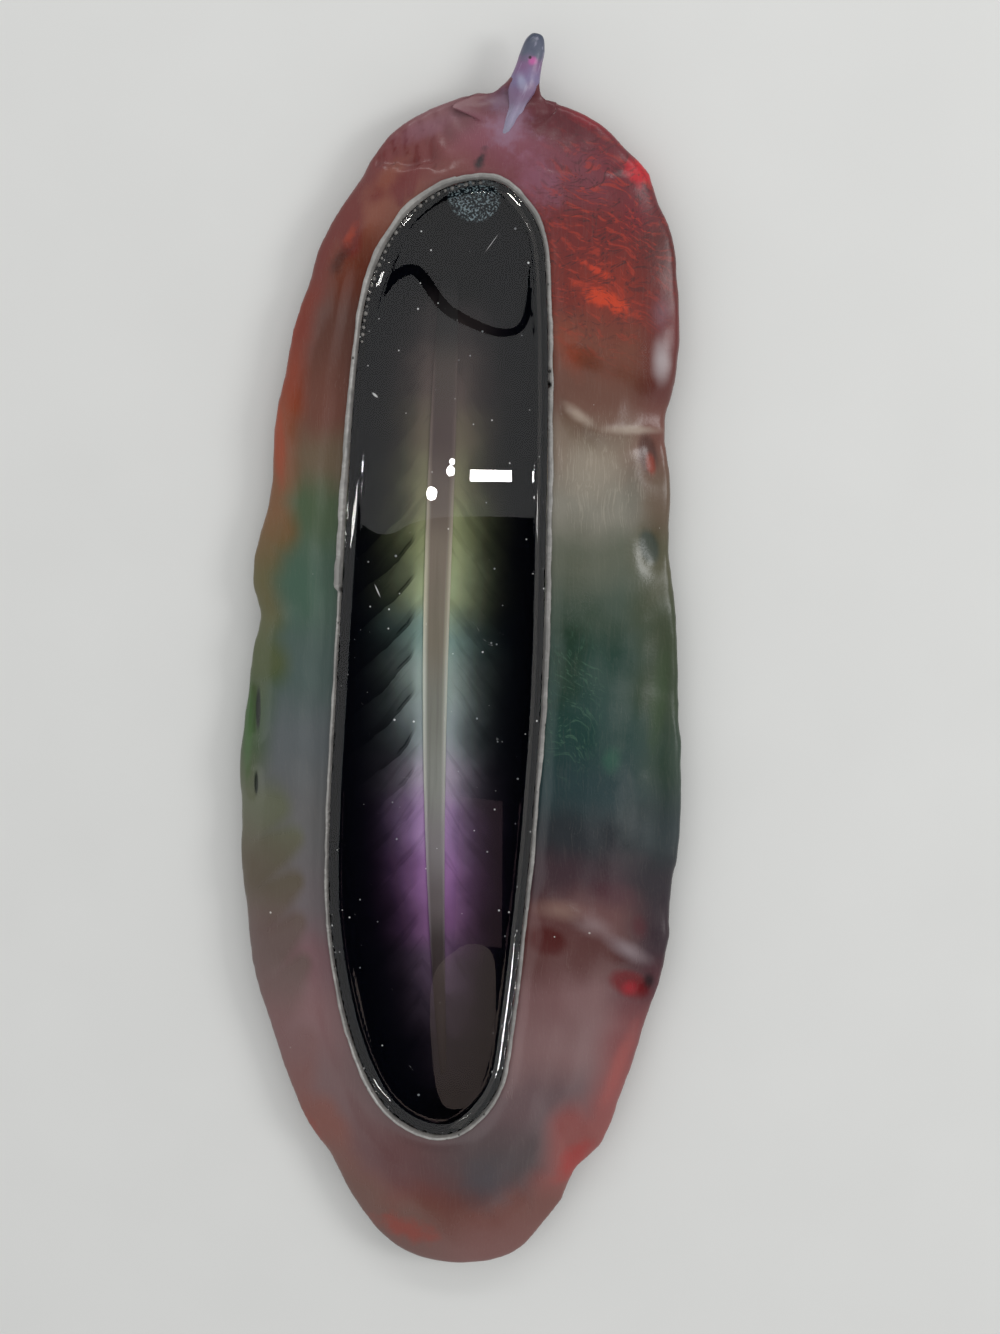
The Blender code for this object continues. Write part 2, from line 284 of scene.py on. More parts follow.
def linear(shade):
    """Linear colour of a web colour such as 7a4a30."""
    parts = [int(shade[k : k + 2], 16) / 255 for k in (0, 2, 4)]
    return tuple(c / 12.92 if c <= 0.04045 else ((c + 0.055) / 1.055) ** 2.4 for c in parts)


def add(tree, kind, inputs=(), **settings):
    """A node with its settings, and its inputs set to values or joined to other sockets."""
    made = tree.nodes.new(kind)
    for key, value in settings.items():
        setattr(made, key, value)
    for key, value in dict(inputs).items():
        if isinstance(value, bpy.types.NodeSocket):
            tree.links.new(value, made.inputs[key])
        else:
            made.inputs[key].default_value = value
    return made


def maths(tree, operation, first, second=0.0):
    return add(tree, "ShaderNodeMath", {0: first, 1: second}, operation=operation).outputs[0]


def plus(tree, first, second):
    return maths(tree, "ADD", first, second)


def minus(tree, first, second):
    return maths(tree, "SUBTRACT", first, second)


def times(tree, first, second):
    return maths(tree, "MULTIPLY", first, second)


def vector_maths(tree, operation, first, second):
    return add(tree, "ShaderNodeVectorMath", {0: first, 1: second}, operation=operation).outputs[0]


def cloudy(tree, place, scale, detail, roughness=0.5):
    """A random grey, from 0 to 1, that varies about scale times to the metre."""
    inputs = {"Vector": place, "Scale": scale, "Detail": detail, "Roughness": roughness}
    return add(tree, "ShaderNodeTexNoise", inputs).outputs[0]


def apart(tree, place):
    """The x, y and z of a place."""
    return add(tree, "ShaderNodeSeparateXYZ", {0: place}).outputs


def between(tree, value, low, high, start=0.0, end=1.0):
    """start below low and end above high, with a smooth step."""
    inputs = {"Value": value, "From Min": low, "From Max": high, "To Min": start, "To Max": end}
    return add(tree, "ShaderNodeMapRange", inputs, interpolation_type="SMOOTHSTEP").outputs[0]


def mixed(tree, share, first, second):
    """The first colour where share is 0, and the second where it is 1."""
    made = add(tree, "ShaderNodeMix", data_type="RGBA")
    for place, value in ((0, share), (6, first), (7, second)):
        if isinstance(value, bpy.types.NodeSocket):
            tree.links.new(value, made.inputs[place])
        else:
            made.inputs[place].default_value = (*value, 1) if place else value
    return made.outputs[2]


def group(name, inputs):
    """An empty node group with named inputs and a mask as its output, and its two end nodes."""
    tree = bpy.data.node_groups.new(name, "ShaderNodeTree")
    for label, value in inputs.items():
        kind = "NodeSocketVector" if isinstance(value, tuple) else "NodeSocketFloat"
        socket = tree.interface.new_socket(label, in_out="INPUT", socket_type=kind)
        socket.default_value = value
    tree.interface.new_socket("Mask", in_out="OUTPUT", socket_type="NodeSocketFloat")
    start = tree.nodes.new("NodeGroupInput")
    end = tree.nodes.new("NodeGroupOutput")
    return tree, start.outputs, end.inputs


def placed(tree, made_group, **values):
    """The mask of a group; underscores in the names of values stand for spaces."""
    inputs = {key.replace("_", " "): value for key, value in values.items()}
    made = tree.nodes.new("ShaderNodeGroup")
    made.node_tree = made_group
    for key, value in inputs.items():
        if isinstance(value, bpy.types.NodeSocket):
            tree.links.new(value, made.inputs[key])
        else:
            made.inputs[key].default_value = value
    return made.outputs[0]


def new_material(name):
    """A material, its tree, its main shader, and the place on the piece in metres."""
    made = bpy.data.materials.new(name)
    made.use_nodes = True
    tree = made.node_tree
    place = tree.nodes.new("ShaderNodeTexCoord").outputs["Object"]
    return made, tree, tree.nodes["Principled BSDF"], place


def turned_flat(tree, place, angle):
    """The place turned round the upright axis."""
    inputs = {"Vector": place, "Angle": angle}
    return add(tree, "ShaderNodeVectorRotate", inputs, rotation_type="Z_AXIS").outputs[0]


# Dab: a soft-edged oval of colour, somewhere on the leaf, with a ragged edge; most are powder, and some are
# painted highlight, sheen and shade.
DAB, enter, leave = group(
    "powder_and_light_dab",
    {"Place": (0.0, 0.0, 0.0), "Centre": (0.0, 0.0, 0.0), "Size": (0.01, 0.01, 1.0), "Turn": 0.0,
     "Softness": 0.5, "Tear": 0.3, "Ragged": 0.5},
)
offset = vector_maths(DAB, "SUBTRACT", enter["Place"], enter["Centre"])
turned = turned_flat(DAB, offset, times(DAB, enter["Turn"], -1.0))
flat_part = vector_maths(DAB, "MULTIPLY", turned, (1.0, 1.0, 0.0))
scaled = vector_maths(DAB, "DIVIDE", flat_part, enter["Size"])
radius = add(DAB, "ShaderNodeVectorMath", {0: scaled}, operation="LENGTH").outputs["Value"]
spread = times(DAB, minus(DAB, enter["Ragged"], 0.5), enter["Tear"])
inner = minus(DAB, 1.0, enter["Softness"])
fade = between(DAB, plus(DAB, radius, spread), inner, 1.0, 1.0, 0.0)
DAB.links.new(fade, leave[0])

# Strokes: long thin marks of a brush or a rag, running one way and slightly curled.
STROKES, enter, leave = group(
    "brush_strokes",
    {"Place": (0.0, 0.0, 0.0), "Turn": 0.0, "Fineness": 900.0, "Length": 8.0, "Curl": 0.002,
     "Share": 0.5},
)
curl = add(STROKES, "ShaderNodeTexNoise", {"Vector": enter["Place"], "Scale": 90.0, "Detail": 2.0})
centred = vector_maths(STROKES, "SUBTRACT", curl.outputs["Color"], (0.5, 0.5, 0.5))
bend = add(STROKES, "ShaderNodeVectorMath", {0: centred, "Scale": enter["Curl"]}, operation="SCALE")
moved = vector_maths(STROKES, "ADD", enter["Place"], bend.outputs[0])
x, y, z = apart(STROKES, turned_flat(STROKES, moved, enter["Turn"]))
longways = maths(STROKES, "DIVIDE", x, enter["Length"])
drawn_out = add(STROKES, "ShaderNodeCombineXYZ", {0: longways, 1: y, 2: z}).outputs[0]
fibre = cloudy(STROKES, drawn_out, enter["Fineness"], 3.0, 0.6)
low = minus(STROKES, 0.72, times(STROKES, enter["Share"], 0.4))
STROKES.links.new(between(STROKES, fibre, low, plus(STROKES, low, 0.12)), leave[0])

# Flecks: stray mica grains and dust, as small bright points of uneven size.
FLECKS, enter, leave = group(
    "mica_flecks",
    {"Place": (0.0, 0.0, 0.0), "Density": 700.0, "Share": 0.05, "Fleck Size": 0.25},
)
cells = add(FLECKS, "ShaderNodeTexVoronoi", {"Vector": enter["Place"], "Scale": enter["Density"]})
chance = add(FLECKS, "ShaderNodeSeparateColor", {0: cells.outputs["Color"]}).outputs
chosen = maths(FLECKS, "LESS_THAN", chance[0], enter["Share"])
own_size = times(FLECKS, enter["Fleck Size"], plus(FLECKS, chance[1], 0.3))
core_size = times(FLECKS, own_size, 0.5)
grain = between(FLECKS, cells.outputs["Distance"], core_size, own_size, 1.0, 0.0)
FLECKS.links.new(times(FLECKS, chosen, grain), leave[0])

WASH_HALF = 130.0


def wash(tree, along, stops):
    """Colour along the leaf from (mm from the middle, web colour) stops, tip to stem."""
    made = tree.nodes.new("ShaderNodeValToRGB")
    made.color_ramp.interpolation = "EASE"
    for number, (spot, shade) in enumerate(stops):
        share = (spot + WASH_HALF) / (2 * WASH_HALF)
        if number < 2:
            stop = made.color_ramp.elements[number]
            stop.position = share
        else:
            stop = made.color_ramp.elements.new(share)
        stop.color = (*linear(shade), 1)
    tree.links.new(along, made.inputs[0])
    return made.outputs[0]


def length_share(tree, along_leaf, drift=0.0):
    """0 at the tip and 1 at the stem, with the drift added in metres."""
    from_tip = plus(tree, plus(tree, along_leaf, drift), WASH_HALF * MM)
    return maths(tree, "DIVIDE", from_tip, 2 * WASH_HALF * MM)


def oval_mask(tree, place, centre, size, **values):
    """The mask of a dab, from its centre and its half size in mm."""
    return placed(
        tree, DAB, Place=place, Centre=(centre[0] * MM, centre[1] * MM, 0.0),
        Size=(size[0] * MM, size[1] * MM, 1.0), **values,
    )


def dab(tree, place, ragged, colour, marks):
    """Lays ovals of colour over a colour: powder, and some painted highlights, sheen and shade.

    Each is (centre, half size, turn, softness, tear, colour, strength), with its sizes in mm.
    """
    for centre, size, turn, soft, tear, shade, strength in marks:
        mask = oval_mask(tree, place, centre, size, Turn=turn, Softness=soft, Tear=tear, Ragged=ragged)
        colour = mixed(tree, times(tree, mask, strength), colour, linear(shade))
    return colour


satin, tree, shader, place = new_material("satin_mica_resin")
across_leaf, along_leaf, _ = apart(tree, place)
cloud = cloudy(tree, place, 45.0, 5.0, 0.55)
torn = cloudy(tree, place, 260.0, 4.0, 0.65)
drift = times(tree, minus(tree, cloud, 0.5), 0.014)
along = length_share(tree, along_leaf, drift)

# Washes of colour along the leaf, for the field and for the margin of each side.
LEFT_FIELD = [
    (-128, "74302a"), (-117, "733a30"), (-104, "644545"), (-88, "6f5555"), (-72, "7d5d5e"), (-60, "785a5e"),
    (-48, "6a6264"), (-30, "646363"), (-14, "5c6163"), (0, "4e5d59"), (20, "4b6053"), (34, "4e5e46"),
    (44, "6a5a48"), (56, "6e463b"), (72, "5e3c33"), (82, "66301f"), (92, "7e4838"), (101, "703a36"),
    (110, "80484f"), (118, "7a5866"),
]
LEFT_EDGE = [
    (-128, "6a4a44"), (-112, "69483f"), (-98, "78483f"), (-80, "755453"), (-58, "665450"), (-42, "5c5345"),
    (-28, "606350"), (-10, "3e5232"), (4, "51593a"), (20, "605a3a"), (34, "74502f"), (48, "84452a"),
    (60, "84300f"), (72, "742a18"), (90, "6a2a25"), (104, "6c3030"), (114, "7a5055"),
]
RIGHT_FIELD = [
    (-128, "6e3a30"), (-116, "603c38"), (-102, "544a4b"), (-88, "665254"), (-76, "7e6161"), (-64, "765656"),
    (-54, "5c3a38"), (-46, "5e3a39"), (-38, "3f2e34"), (-28, "2a2e32"), (-18, "263a3c"), (-6, "1c3b36"),
    (6, "243f36"), (16, "3a493c"), (28, "565a4b"), (38, "7e7a6e"), (50, "7a6a5b"), (60, "623c2e"),
    (70, "6c3827"), (80, "6c1b0d"), (92, "691816"), (102, "6c303a"), (112, "7c4656"),
]
RIGHT_EDGE = [
    (-128, "77504c"), (-112, "70463f"), (-100, "864a46"), (-86, "864a48"), (-72, "743f40"), (-62, "4c2028"),
    (-50, "2a1520"), (-40, "221a22"), (-28, "243032"), (-12, "263a2c"), (2, "28381f"), (14, "2f3a20"),
    (28, "4c4a34"), (40, "5e4b3a"), (52, "6b4036"), (64, "5c2a25"), (76, "601a19"),
    (90, "521410"), (102, "681c26"), (112, "561620"),
]
reach_value = add(tree, "ShaderNodeAttribute", attribute_name="reach").outputs["Fac"]
reach_value = plus(tree, reach_value, times(tree, drift, 3.0))
left_margin = between(tree, reach_value, 0.55, 0.9)
left = mixed(tree, left_margin, wash(tree, along, LEFT_FIELD), wash(tree, along, LEFT_EDGE))
right_margin = between(tree, reach_value, 0.6, 0.92)
right = mixed(tree, right_margin, wash(tree, along, RIGHT_FIELD), wash(tree, along, RIGHT_EDGE))
side = plus(tree, across_leaf, times(tree, drift, 0.8))
colour = mixed(tree, between(tree, side, -0.009, 0.010), left, right)

# Dabs of powder, and some of painted highlight, sheen and shade: (centre, half size, turn, softness, tear,
# colour, strength).
POWDERS_AND_PAINTED_LIGHT = [
    ((25.0, 80.0), (9.0, 6.5), -0.35, 0.8, 1.2, "96280f", 0.45),
    ((25.5, 78.0), (7.5, 2.0), -0.4, 0.7, 2.2, "d23c0c", 0.65),
    ((22.5, 84.0), (5.0, 1.2), -0.5, 0.7, 2.6, "c43410", 0.7),
    ((18.5, 68.5), (3.6, 8.5), 0.35, 0.9, 0.6, "8c3c22", 0.5),
    ((31.0, 103.4), (5.2, 3.6), -0.7, 0.6, 1.6, "b8081c", 0.85),
    ((21.0, 112.0), (9.0, 3.0), -0.4, 0.8, 1.0, "8a0a1c", 0.6),
    ((30.0, 94.0), (5.0, 5.5), 0.0, 0.9, 1.0, "6e1220", 0.5),
    ((4.5, 110.5), (6.0, 6.5), 0.5, 0.9, 1.8, "8c7086", 0.6),
    ((10.5, 100.5), (5.5, 9.0), 0.5, 0.9, 2.0, "865468", 0.55),
    ((-12.0, 109.0), (10.0, 2.6), 0.35, 0.9, 1.6, "8c6478", 0.25),
    ((3.5, 115.0), (5.5, 3.6), 0.3, 0.9, 0.8, "6e5468", 0.75),
    ((-19.0, 99.5), (9.0, 3.0), 0.85, 0.9, 1.2, "8c5440", 0.5),
    ((-27.0, 84.0), (2.0, 5.5), -0.5, 0.8, 1.6, "301c1a", 0.55),
    ((-25.5, 88.0), (1.6, 4.0), -0.4, 0.8, 2.0, "a03c22", 0.6),
    ((-0.8, 103.4), (1.5, 3.2), -0.5, 0.8, 2.4, "1c1a1e", 0.9),
    # Painted highlight on the bulge near the right margin.
    ((36.4, 67.0), (2.6, 6.5), 0.08, 1.0, 0.2, "c2bcbe", 0.55),
    ((36.0, 76.0), (3.0, 5.0), 0.0, 1.0, 0.6, "7c5c66", 0.5),
    # Painted highlights along the ridge above the finger dimples.
    ((21.0, 55.6), (5.0, 1.8), -0.6, 0.9, 0.5, "b4a494", 0.55),
    ((31.5, 53.2), (7.5, 1.4), 0.0, 0.9, 0.5, "b4a698", 0.55),
    # Painted sheen on the rubbed silvery patch of the right side.
    ((23.5, 45.0), (7.0, 9.5), 0.0, 0.8, 0.5, "988f80", 0.5),
    ((32.5, 40.0), (3.0, 10.0), 0.0, 0.9, 0.4, "6a675c", 0.6),
    ((34.9, 48.4), (2.4, 4.9), 0.24, 0.5, 0.3, "4a2820", 0.9),
    ((35.6, 46.4), (1.3, 3.2), 0.24, 0.7, 0.5, "8a2c10", 0.7),
    ((36.2, 29.9), (2.4, 4.6), 0.3, 0.5, 0.3, "363f36", 0.9),
    ((21.5, 6.0), (4.5, 14.0), 0.0, 0.8, 1.4, "16301f", 0.65),
    ((32.6, -2.0), (3.4, 17.0), -0.02, 0.9, 0.8, "56625c", 0.4),
    ((34.6, -24.0), (3.4, 12.0), 0.08, 0.9, 0.8, "5a6060", 0.4),
    ((31.0, -13.5), (3.0, 4.0), 0.0, 0.9, 0.6, "2a6048", 0.4),
    ((40.0, 0.0), (2.6, 16.0), -0.05, 0.8, 0.6, "2c4220", 0.6),
    # Painted highlight along the diagonal crease.
    ((22.5, -45.8), (7.5, 3.4), -0.1, 1.0, 0.3, "84685f", 0.8),
    ((29.5, -48.8), (6.5, 3.2), -0.5, 1.0, 0.3, "80696a", 0.75),
    ((36.6, -53.8), (7.5, 2.8), -0.5, 1.0, 0.3, "847478", 0.8),
    ((20.0, -52.6), (5.8, 4.0), -0.35, 0.55, 0.3, "4c1614", 0.85),
    ((33.0, -42.0), (8.0, 4.6), -0.3, 0.9, 0.5, "46222c", 0.6),
    ((38.8, -49.0), (2.4, 4.0), 0.2, 0.9, 0.3, "4c0c18", 0.6),
    ((37.6, -61.6), (5.6, 3.6), -0.45, 0.5, 0.2, "66040e", 0.95),
    ((37.6, -62.6), (2.6, 2.4), 0.15, 0.9, 0.4, "a0041c", 0.6),
    ((41.4, -60.8), (1.8, 2.8), 0.0, 0.9, 0.3, "0c080c", 0.75),
    ((36.2, -80.0), (2.6, 14.0), -0.3, 0.9, 0.5, "a2504a", 0.5),
    ((28.0, -101.5), (4.0, 7.5), -0.55, 0.8, 0.7, "9c2c28", 0.65),
    ((10.0, -107.0), (9.0, 9.0), 0.0, 1.0, 0.8, "4a4c52", 0.55),
    ((-7.0, -119.5), (10.0, 4.0), -0.2, 0.9, 1.4, "8e3020", 0.6),
    ((-29.0, -99.0), (3.0, 8.0), 0.5, 0.9, 0.8, "8c3a2e", 0.55),
    ((-39.0, 47.0), (2.0, 12.0), 0.08, 0.7, 0.5, "9a3c1c", 0.6),
    ((-37.0, 70.0), (2.0, 9.0), -0.2, 0.9, 0.6, "90341c", 0.5),
    ((-34.0, 18.0), (7.0, 11.0), 0.1, 0.8, 0.3, "42604f", 0.45),
    # Painted shade in the two grooves along the left margin.
    ((-42.0, -8.0), (0.75, 5.6), 0.02, 0.5, 0.1, "0a120e", 0.9),
    ((-41.9, -23.6), (0.6, 3.2), 0.0, 0.5, 0.1, "10180f", 0.9),
    ((-44.0, -12.0), (1.5, 14.0), 0.02, 0.8, 0.3, "46663a", 0.6),
]
colour = dab(tree, place, torn, colour, POWDERS_AND_PAINTED_LIGHT)


def stroked(tree, colour, strokes, where, strength, shade):
    """Lays strokes of another colour over a colour, in one zone."""
    return mixed(tree, times(tree, times(tree, strokes, where), strength), colour, linear(shade))


# Fibrous strokes show most in the red top and in the green middle of the right side.
red_zone = oval_mask(tree, place, (24.0, 90.0), (20.0, 30.0), Softness=0.7, Tear=0.2)
fine = placed(tree, STROKES, Place=place, Turn=0.45, Fineness=1100.0, Length=6.0, Curl=0.008, Share=0.5)
colour = stroked(tree, colour, fine, red_zone, 0.5, "a8301a")
dark = placed(tree, STROKES, Place=place, Turn=-0.3, Fineness=1500.0, Length=7.0, Curl=0.016, Share=0.5)
colour = stroked(tree, colour, dark, red_zone, 0.6, "2a1014")
green_zone = oval_mask(tree, place, (23.0, -2.0), (8.0, 22.0), Softness=0.7, Tear=0.2)
swirl = placed(tree, STROKES, Place=place, Turn=0.8, Fineness=1500.0, Length=24.0, Curl=0.016, Share=0.45)
colour = stroked(tree, colour, swirl, green_zone, 0.4, "4c6e58")

# The silvery part of the right side is rubbed, and so is the rest of the leaf, but faintly; the pale
# strokes, thickest there, carry painted sheen as well as the scratches.
painted_sheen_zone = oval_mask(tree, place, (26.0, 44.0), (12.0, 14.0), Softness=0.6, Tear=0.2)
rubbed_and_sheen = placed(tree, STROKES, Place=place, Turn=1.5, Fineness=3000.0, Length=40.0, Curl=0.003, Share=0.5)
rubbed_and_sheen = times(tree, rubbed_and_sheen, plus(tree, times(tree, painted_sheen_zone, 0.9), 0.1))
colour = mixed(tree, times(tree, rubbed_and_sheen, 0.16), colour, linear("c4b8a6"))
specks = placed(tree, FLECKS, Place=place, Density=420.0, Share=0.03, Fleck_Size=0.14)
colour = mixed(tree, times(tree, specks, 0.7), colour, linear("d8d4cc"))
tree.links.new(colour, shader.inputs["Base Color"])
duller_margin = between(tree, reach_value, 0.75, 1.0, 0.17, 0.27)
rough = plus(tree, times(tree, cloud, 0.14), duller_margin)
rough = plus(tree, rough, times(tree, rubbed_and_sheen, 0.15))
tree.links.new(rough, shader.inputs["Roughness"])
frost = cloudy(tree, place, 1600.0, 3.0)
height = plus(tree, frost, times(tree, rubbed_and_sheen, -0.5))
bump = add(tree, "ShaderNodeBump", {"Height": height, "Strength": 0.06, "Distance": 0.0004})
tree.links.new(bump.outputs[0], shader.inputs["Normal"])
leaf.data.materials.append(satin)
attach(leaf, "mould")
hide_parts("mould_body")

# ---------------------------------------------------------------- stem
# The short grey-lilac stalk that the mould is pulled by.  It runs on over the leaf as a
# narrow ridge that ends above the lip, and it is cast in one with the leaf.

stem = cad_copy("stem_tab", "stem")
finish_modifier(stem, "SUBSURF", levels=2, render_levels=2)
points = points_mm(stem)
STEM_LINE = (
    [104.5, 106.8, 110.0, 113.5, 117.0, 120.5, 124.3, 127.8],
    [0.9, 2.4, 4.3, 5.9, 6.8, 7.6, 8.4, 9.0],
)
stem_x = np.interp(points[:, 1], *STEM_LINE)
narrow = smooth(118.5, 113.5, points[:, 1])
points[:, 0] = stem_x + (points[:, 0] - stem_x) * (1 - 0.5 * narrow)
points[:, 2] -= 0.9 * narrow * smooth(9.0, 10.5, points[:, 2])
points += np.column_stack([ripple(points, 2.0, 4), ripple(points, 2.0, 5), ripple(points, 2.0, 6)]) * 0.16
place_points(stem, points)

lilac, tree, shader, place = new_material("lilac_grey_resin")
cloud = cloudy(tree, place, 260.0, 5.0, 0.6)
drift = times(tree, minus(tree, cloud, 0.5), 0.006)
along = length_share(tree, apart(tree, place)[1], drift)
STEM_BANDS = [
    (104, "6c6a78"), (107, "8a8699"), (112, "9088a0"), (116, "7e6682"), (119, "766a8c"), (122, "7a5a7e"),
    (124.5, "565a6c"), (128, "343c50"),
]
colour = wash(tree, along, STEM_BANDS)
STEM_MARKS = [
    ((8.6, 122.6), (1.3, 1.2), 0.0, 0.8, 1.2, "c0569a", 0.75),
    ((8.1, 123.1), (0.4, 0.4), 0.0, 0.5, 0.4, "1a1018", 0.9),
    ((6.6, 118.6), (1.4, 2.6), 0.3, 0.8, 1.2, "a0a4bc", 0.5),
]
colour = dab(tree, place, cloud, colour, STEM_MARKS)
streak = placed(tree, STROKES, Place=place, Turn=-1.2, Fineness=900.0, Length=6.0, Curl=0.002, Share=0.4)
colour = mixed(tree, times(tree, streak, 0.3), colour, linear("b4b0c4"))
tree.links.new(colour, shader.inputs["Base Color"])
tree.links.new(plus(tree, times(tree, cloud, 0.2), 0.25), shader.inputs["Roughness"])
bump = add(tree, "ShaderNodeBump", {"Height": cloud, "Strength": 0.2, "Distance": 0.0005})
tree.links.new(bump.outputs[0], shader.inputs["Normal"])
stem.data.materials.append(lilac)
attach(stem, "mould")
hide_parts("stem")

# ---------------------------------------------------------------- pour lip
# The thin raised rim that stops the pour, of clear resin gone whitish where it was trimmed
# with a knife, and with a painted highlight along its crest.  Its width wanders, and it has nicks, a kink
# and two bubbles.

choose_only(lip)
bpy.ops.object.mode_set(mode="EDIT")
bpy.ops.mesh.select_all(action="SELECT")
bpy.ops.mesh.tris_convert_to_quads()
bpy.ops.mesh.subdivide(number_cuts=2)
bpy.ops.object.mode_set(mode="OBJECT")
finish_modifier(lip, "SUBSURF", levels=1, render_levels=1)
points = points_mm(lip)
across, near, away = beside(points[:, :2], oval)
on_left = near[:, 0] < lip_middle[0]
# Width of the lip at heights along the leaf, left side then right side, in mm.
LEFT_WIDTH = ([-96, -60, 14, 18.2, 19.2, 30, 62, 80, 96], [1, 0.75, 0.75, 0.8, 1.75, 1.6, 1, 1.3, 1.4])
RIGHT_WIDTH = ([-96, -60, -20, 5, 40, 62, 80, 96], [0.9, 0.9, 1.0, 1.3, 1.1, 1.0, 0.85, 1.2])
width = np.where(on_left, np.interp(near[:, 1], *LEFT_WIDTH), np.interp(near[:, 1], *RIGHT_WIDTH))
on_middle = near @ np.eye(2, 3)
width = width * (1 + 0.16 * ripple(on_middle, 5.0, 11) + 0.10 * ripple(on_middle, 1.8, 12))
wander = 0.16 * ripple(on_middle, 11.0, 13) + 0.07 * ripple(on_middle, 2.6, 14)
from_inner = (across + LIP_HALF) / (2 * LIP_HALF)
new_across = -LIP_HALF + np.clip(wander, 0, None) + from_inner * width
points[:, :2] = near + away * new_across[:, None]
high = smooth(lip_top - 1.8, lip_top - 0.2, points[:, 2])
crest = high * smooth(0.0, 0.55, from_inner)
sunk = 0.3 + 0.4 * smooth(0.9, 0.0, from_inner)
points[:, 2] += high * (0.16 * ripple(points * [1, 1, 0], 3.2, 15) - sunk)

# Nicks in the lip: (place, size, depth), in mm.
NICKS = [
    ((-24.8, 18.6), 0.8, 0.9),
    ((14.9, 61.4), 0.7, 1.2),
    ((14.9, 64.0), 0.5, 0.8),
    ((14.6, -61.0), 0.8, 0.6),
    ((-15.9, -89.6), 0.9, 0.7),
    ((9.6, 90.0), 0.7, 0.4),
    ((16.6, 2.0), 0.6, 0.5),
    ((-20.6, -76.0), 0.6, 0.5),
]
for spot, size, depth in NICKS:
    gap = np.linalg.norm(points[:, :2] - spot, axis=1)
    points[:, 2] -= high * depth * np.exp(-((gap / size) ** 2))

# The lip grows out of the leaf, so its foot goes down into the seat.
points[:, 2] -= 0.6 * smooth(SEAT_Z + 0.8, SEAT_Z + 0.3, points[:, 2])
place_points(lip, points)
store(lip, "crest", crest)

# A row of tiny beads stands along the lip's inner edge at the upper left.
BEAD_PITCH = 1.45
BEAD_FROM_Y = 68.0
BEAD_TO_X = 1.0
BEAD_INSET = 1.25
BEAD_RADIUS = 0.36
BEAD_Z = 11.85
BEADS_TURN_ROUND = (0, 60)
steps = np.linalg.norm(np.diff(oval, axis=0), axis=1)
walked = np.concatenate([[0.0], np.cumsum(steps)])
row = np.arange(0.0, walked[-1], BEAD_PITCH)
row = np.column_stack([np.interp(row, walked, oval[:, 0]), np.interp(row, walked, oval[:, 1])])
row = row[(row[:, 1] > BEAD_FROM_Y) & (row[:, 0] < BEAD_TO_X)]
inward = lip_middle + BEADS_TURN_ROUND - row
row += inward / np.linalg.norm(inward, axis=1)[:, None] * BEAD_INSET
bpy.ops.object.select_all(action="DESELECT")
for number, (x, y) in enumerate(row * MM):
    size = (BEAD_RADIUS + 0.1 * math.sin(3.7 * number)) * MM
    spot = (x, y, BEAD_Z * MM)
    bpy.ops.mesh.primitive_uv_sphere_add(segments=12, ring_count=8, radius=size, location=spot)
    bpy.ops.object.transform_apply(location=True, rotation=True, scale=True)
    bead = bpy.context.object
    choose_only(lip)
    bead.select_set(True)
    bpy.ops.object.join()
    bpy.ops.object.select_all(action="DESELECT")
choose_only(lip)
bpy.ops.object.shade_smooth()

trimmed, tree, shader, place = new_material("trimmed_clear_resin")
mottle = cloudy(tree, place, 420.0, 6.0, 0.7)
patchy = cloudy(tree, place, 70.0, 3.0)
share = plus(tree, times(tree, mottle, 0.6), times(tree, patchy, 0.7))
# The crest is paler: whitened where it was trimmed, and a painted highlight along the ridge as well.
clear_part = mixed(tree, between(tree, share, 0.45, 0.9), linear("585654"), linear("7e7b77"))
white_and_highlight = mixed(tree, between(tree, share, 0.5, 0.85), linear("807e7b"), linear("a09e9a"))
crest_value = add(tree, "ShaderNodeAttribute", attribute_name="crest").outputs["Fac"]
trim_and_highlight = between(tree, plus(tree, crest_value, times(tree, mottle, 0.3)), 0.75, 1.15)
colour = mixed(tree, trim_and_highlight, clear_part, white_and_highlight)
pits = placed(tree, FLECKS, Place=place, Density=800.0, Share=0.10, Fleck_Size=0.3)
colour = mixed(tree, times(tree, pits, 0.8), colour, linear("26241f"))
BUBBLES = [
    ((14.9, 61.4), (0.75, 0.75), 0.0, 0.5, 0.3, "151412", 0.95),
    ((14.9, 64.0), (0.45, 0.45), 0.0, 0.5, 0.3, "1c1a18", 0.9),
    ((-24.8, 18.6), (0.7, 0.7), 0.0, 0.6, 0.5, "242220", 0.7),
]
colour = dab(tree, place, mottle, colour, BUBBLES)
tree.links.new(colour, shader.inputs["Base Color"])
tree.links.new(between(tree, mottle, 0.2, 0.9, 0.12, 0.4), shader.inputs["Roughness"])
height = minus(tree, mottle, times(tree, pits, 0.6))
bump = add(tree, "ShaderNodeBump", {"Height": height, "Strength": 0.25, "Distance": 0.0004})
tree.links.new(bump.outputs[0], shader.inputs["Normal"])
lip.data.materials.append(trimmed)
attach(lip, "mould")
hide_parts("pour_lip")

# ---------------------------------------------------------------- black core of the casting
# The cast body: resin pigmented black, with mica dusted along the leaf's midrib so that it
# glows there in bands of colour, and painted shade at the side veins.  Its upper face is the leaf's relief
# in reverse.

CORE_VOXEL = 0.7 * MM
CORE_CUT_Z = 6.1
CORE_FACE_Z = 7.35
CORE_GAP = 0.16
WELL_FLOOR_Z = 4.2
WELL_FLOOR_INSET = 1.9
BANK_RISE = 3.0
RIB_X = -5.9
RIB_BEND = 3.4
RIB_BEND_Y = 30.0
RIB_BEND_LENGTH = 90.0
RIB_HALF = 2.6
RIB_FLARE = 0.012
VEIN_TOP = 31.0
VEIN_PITCH = 8.0
VEIN_START = 1.2
VEIN_REACH = 8.0
VEIN_FALL = 7.0
VEIN_CURVE = 0.69
VEIN_SLANT = 0.35


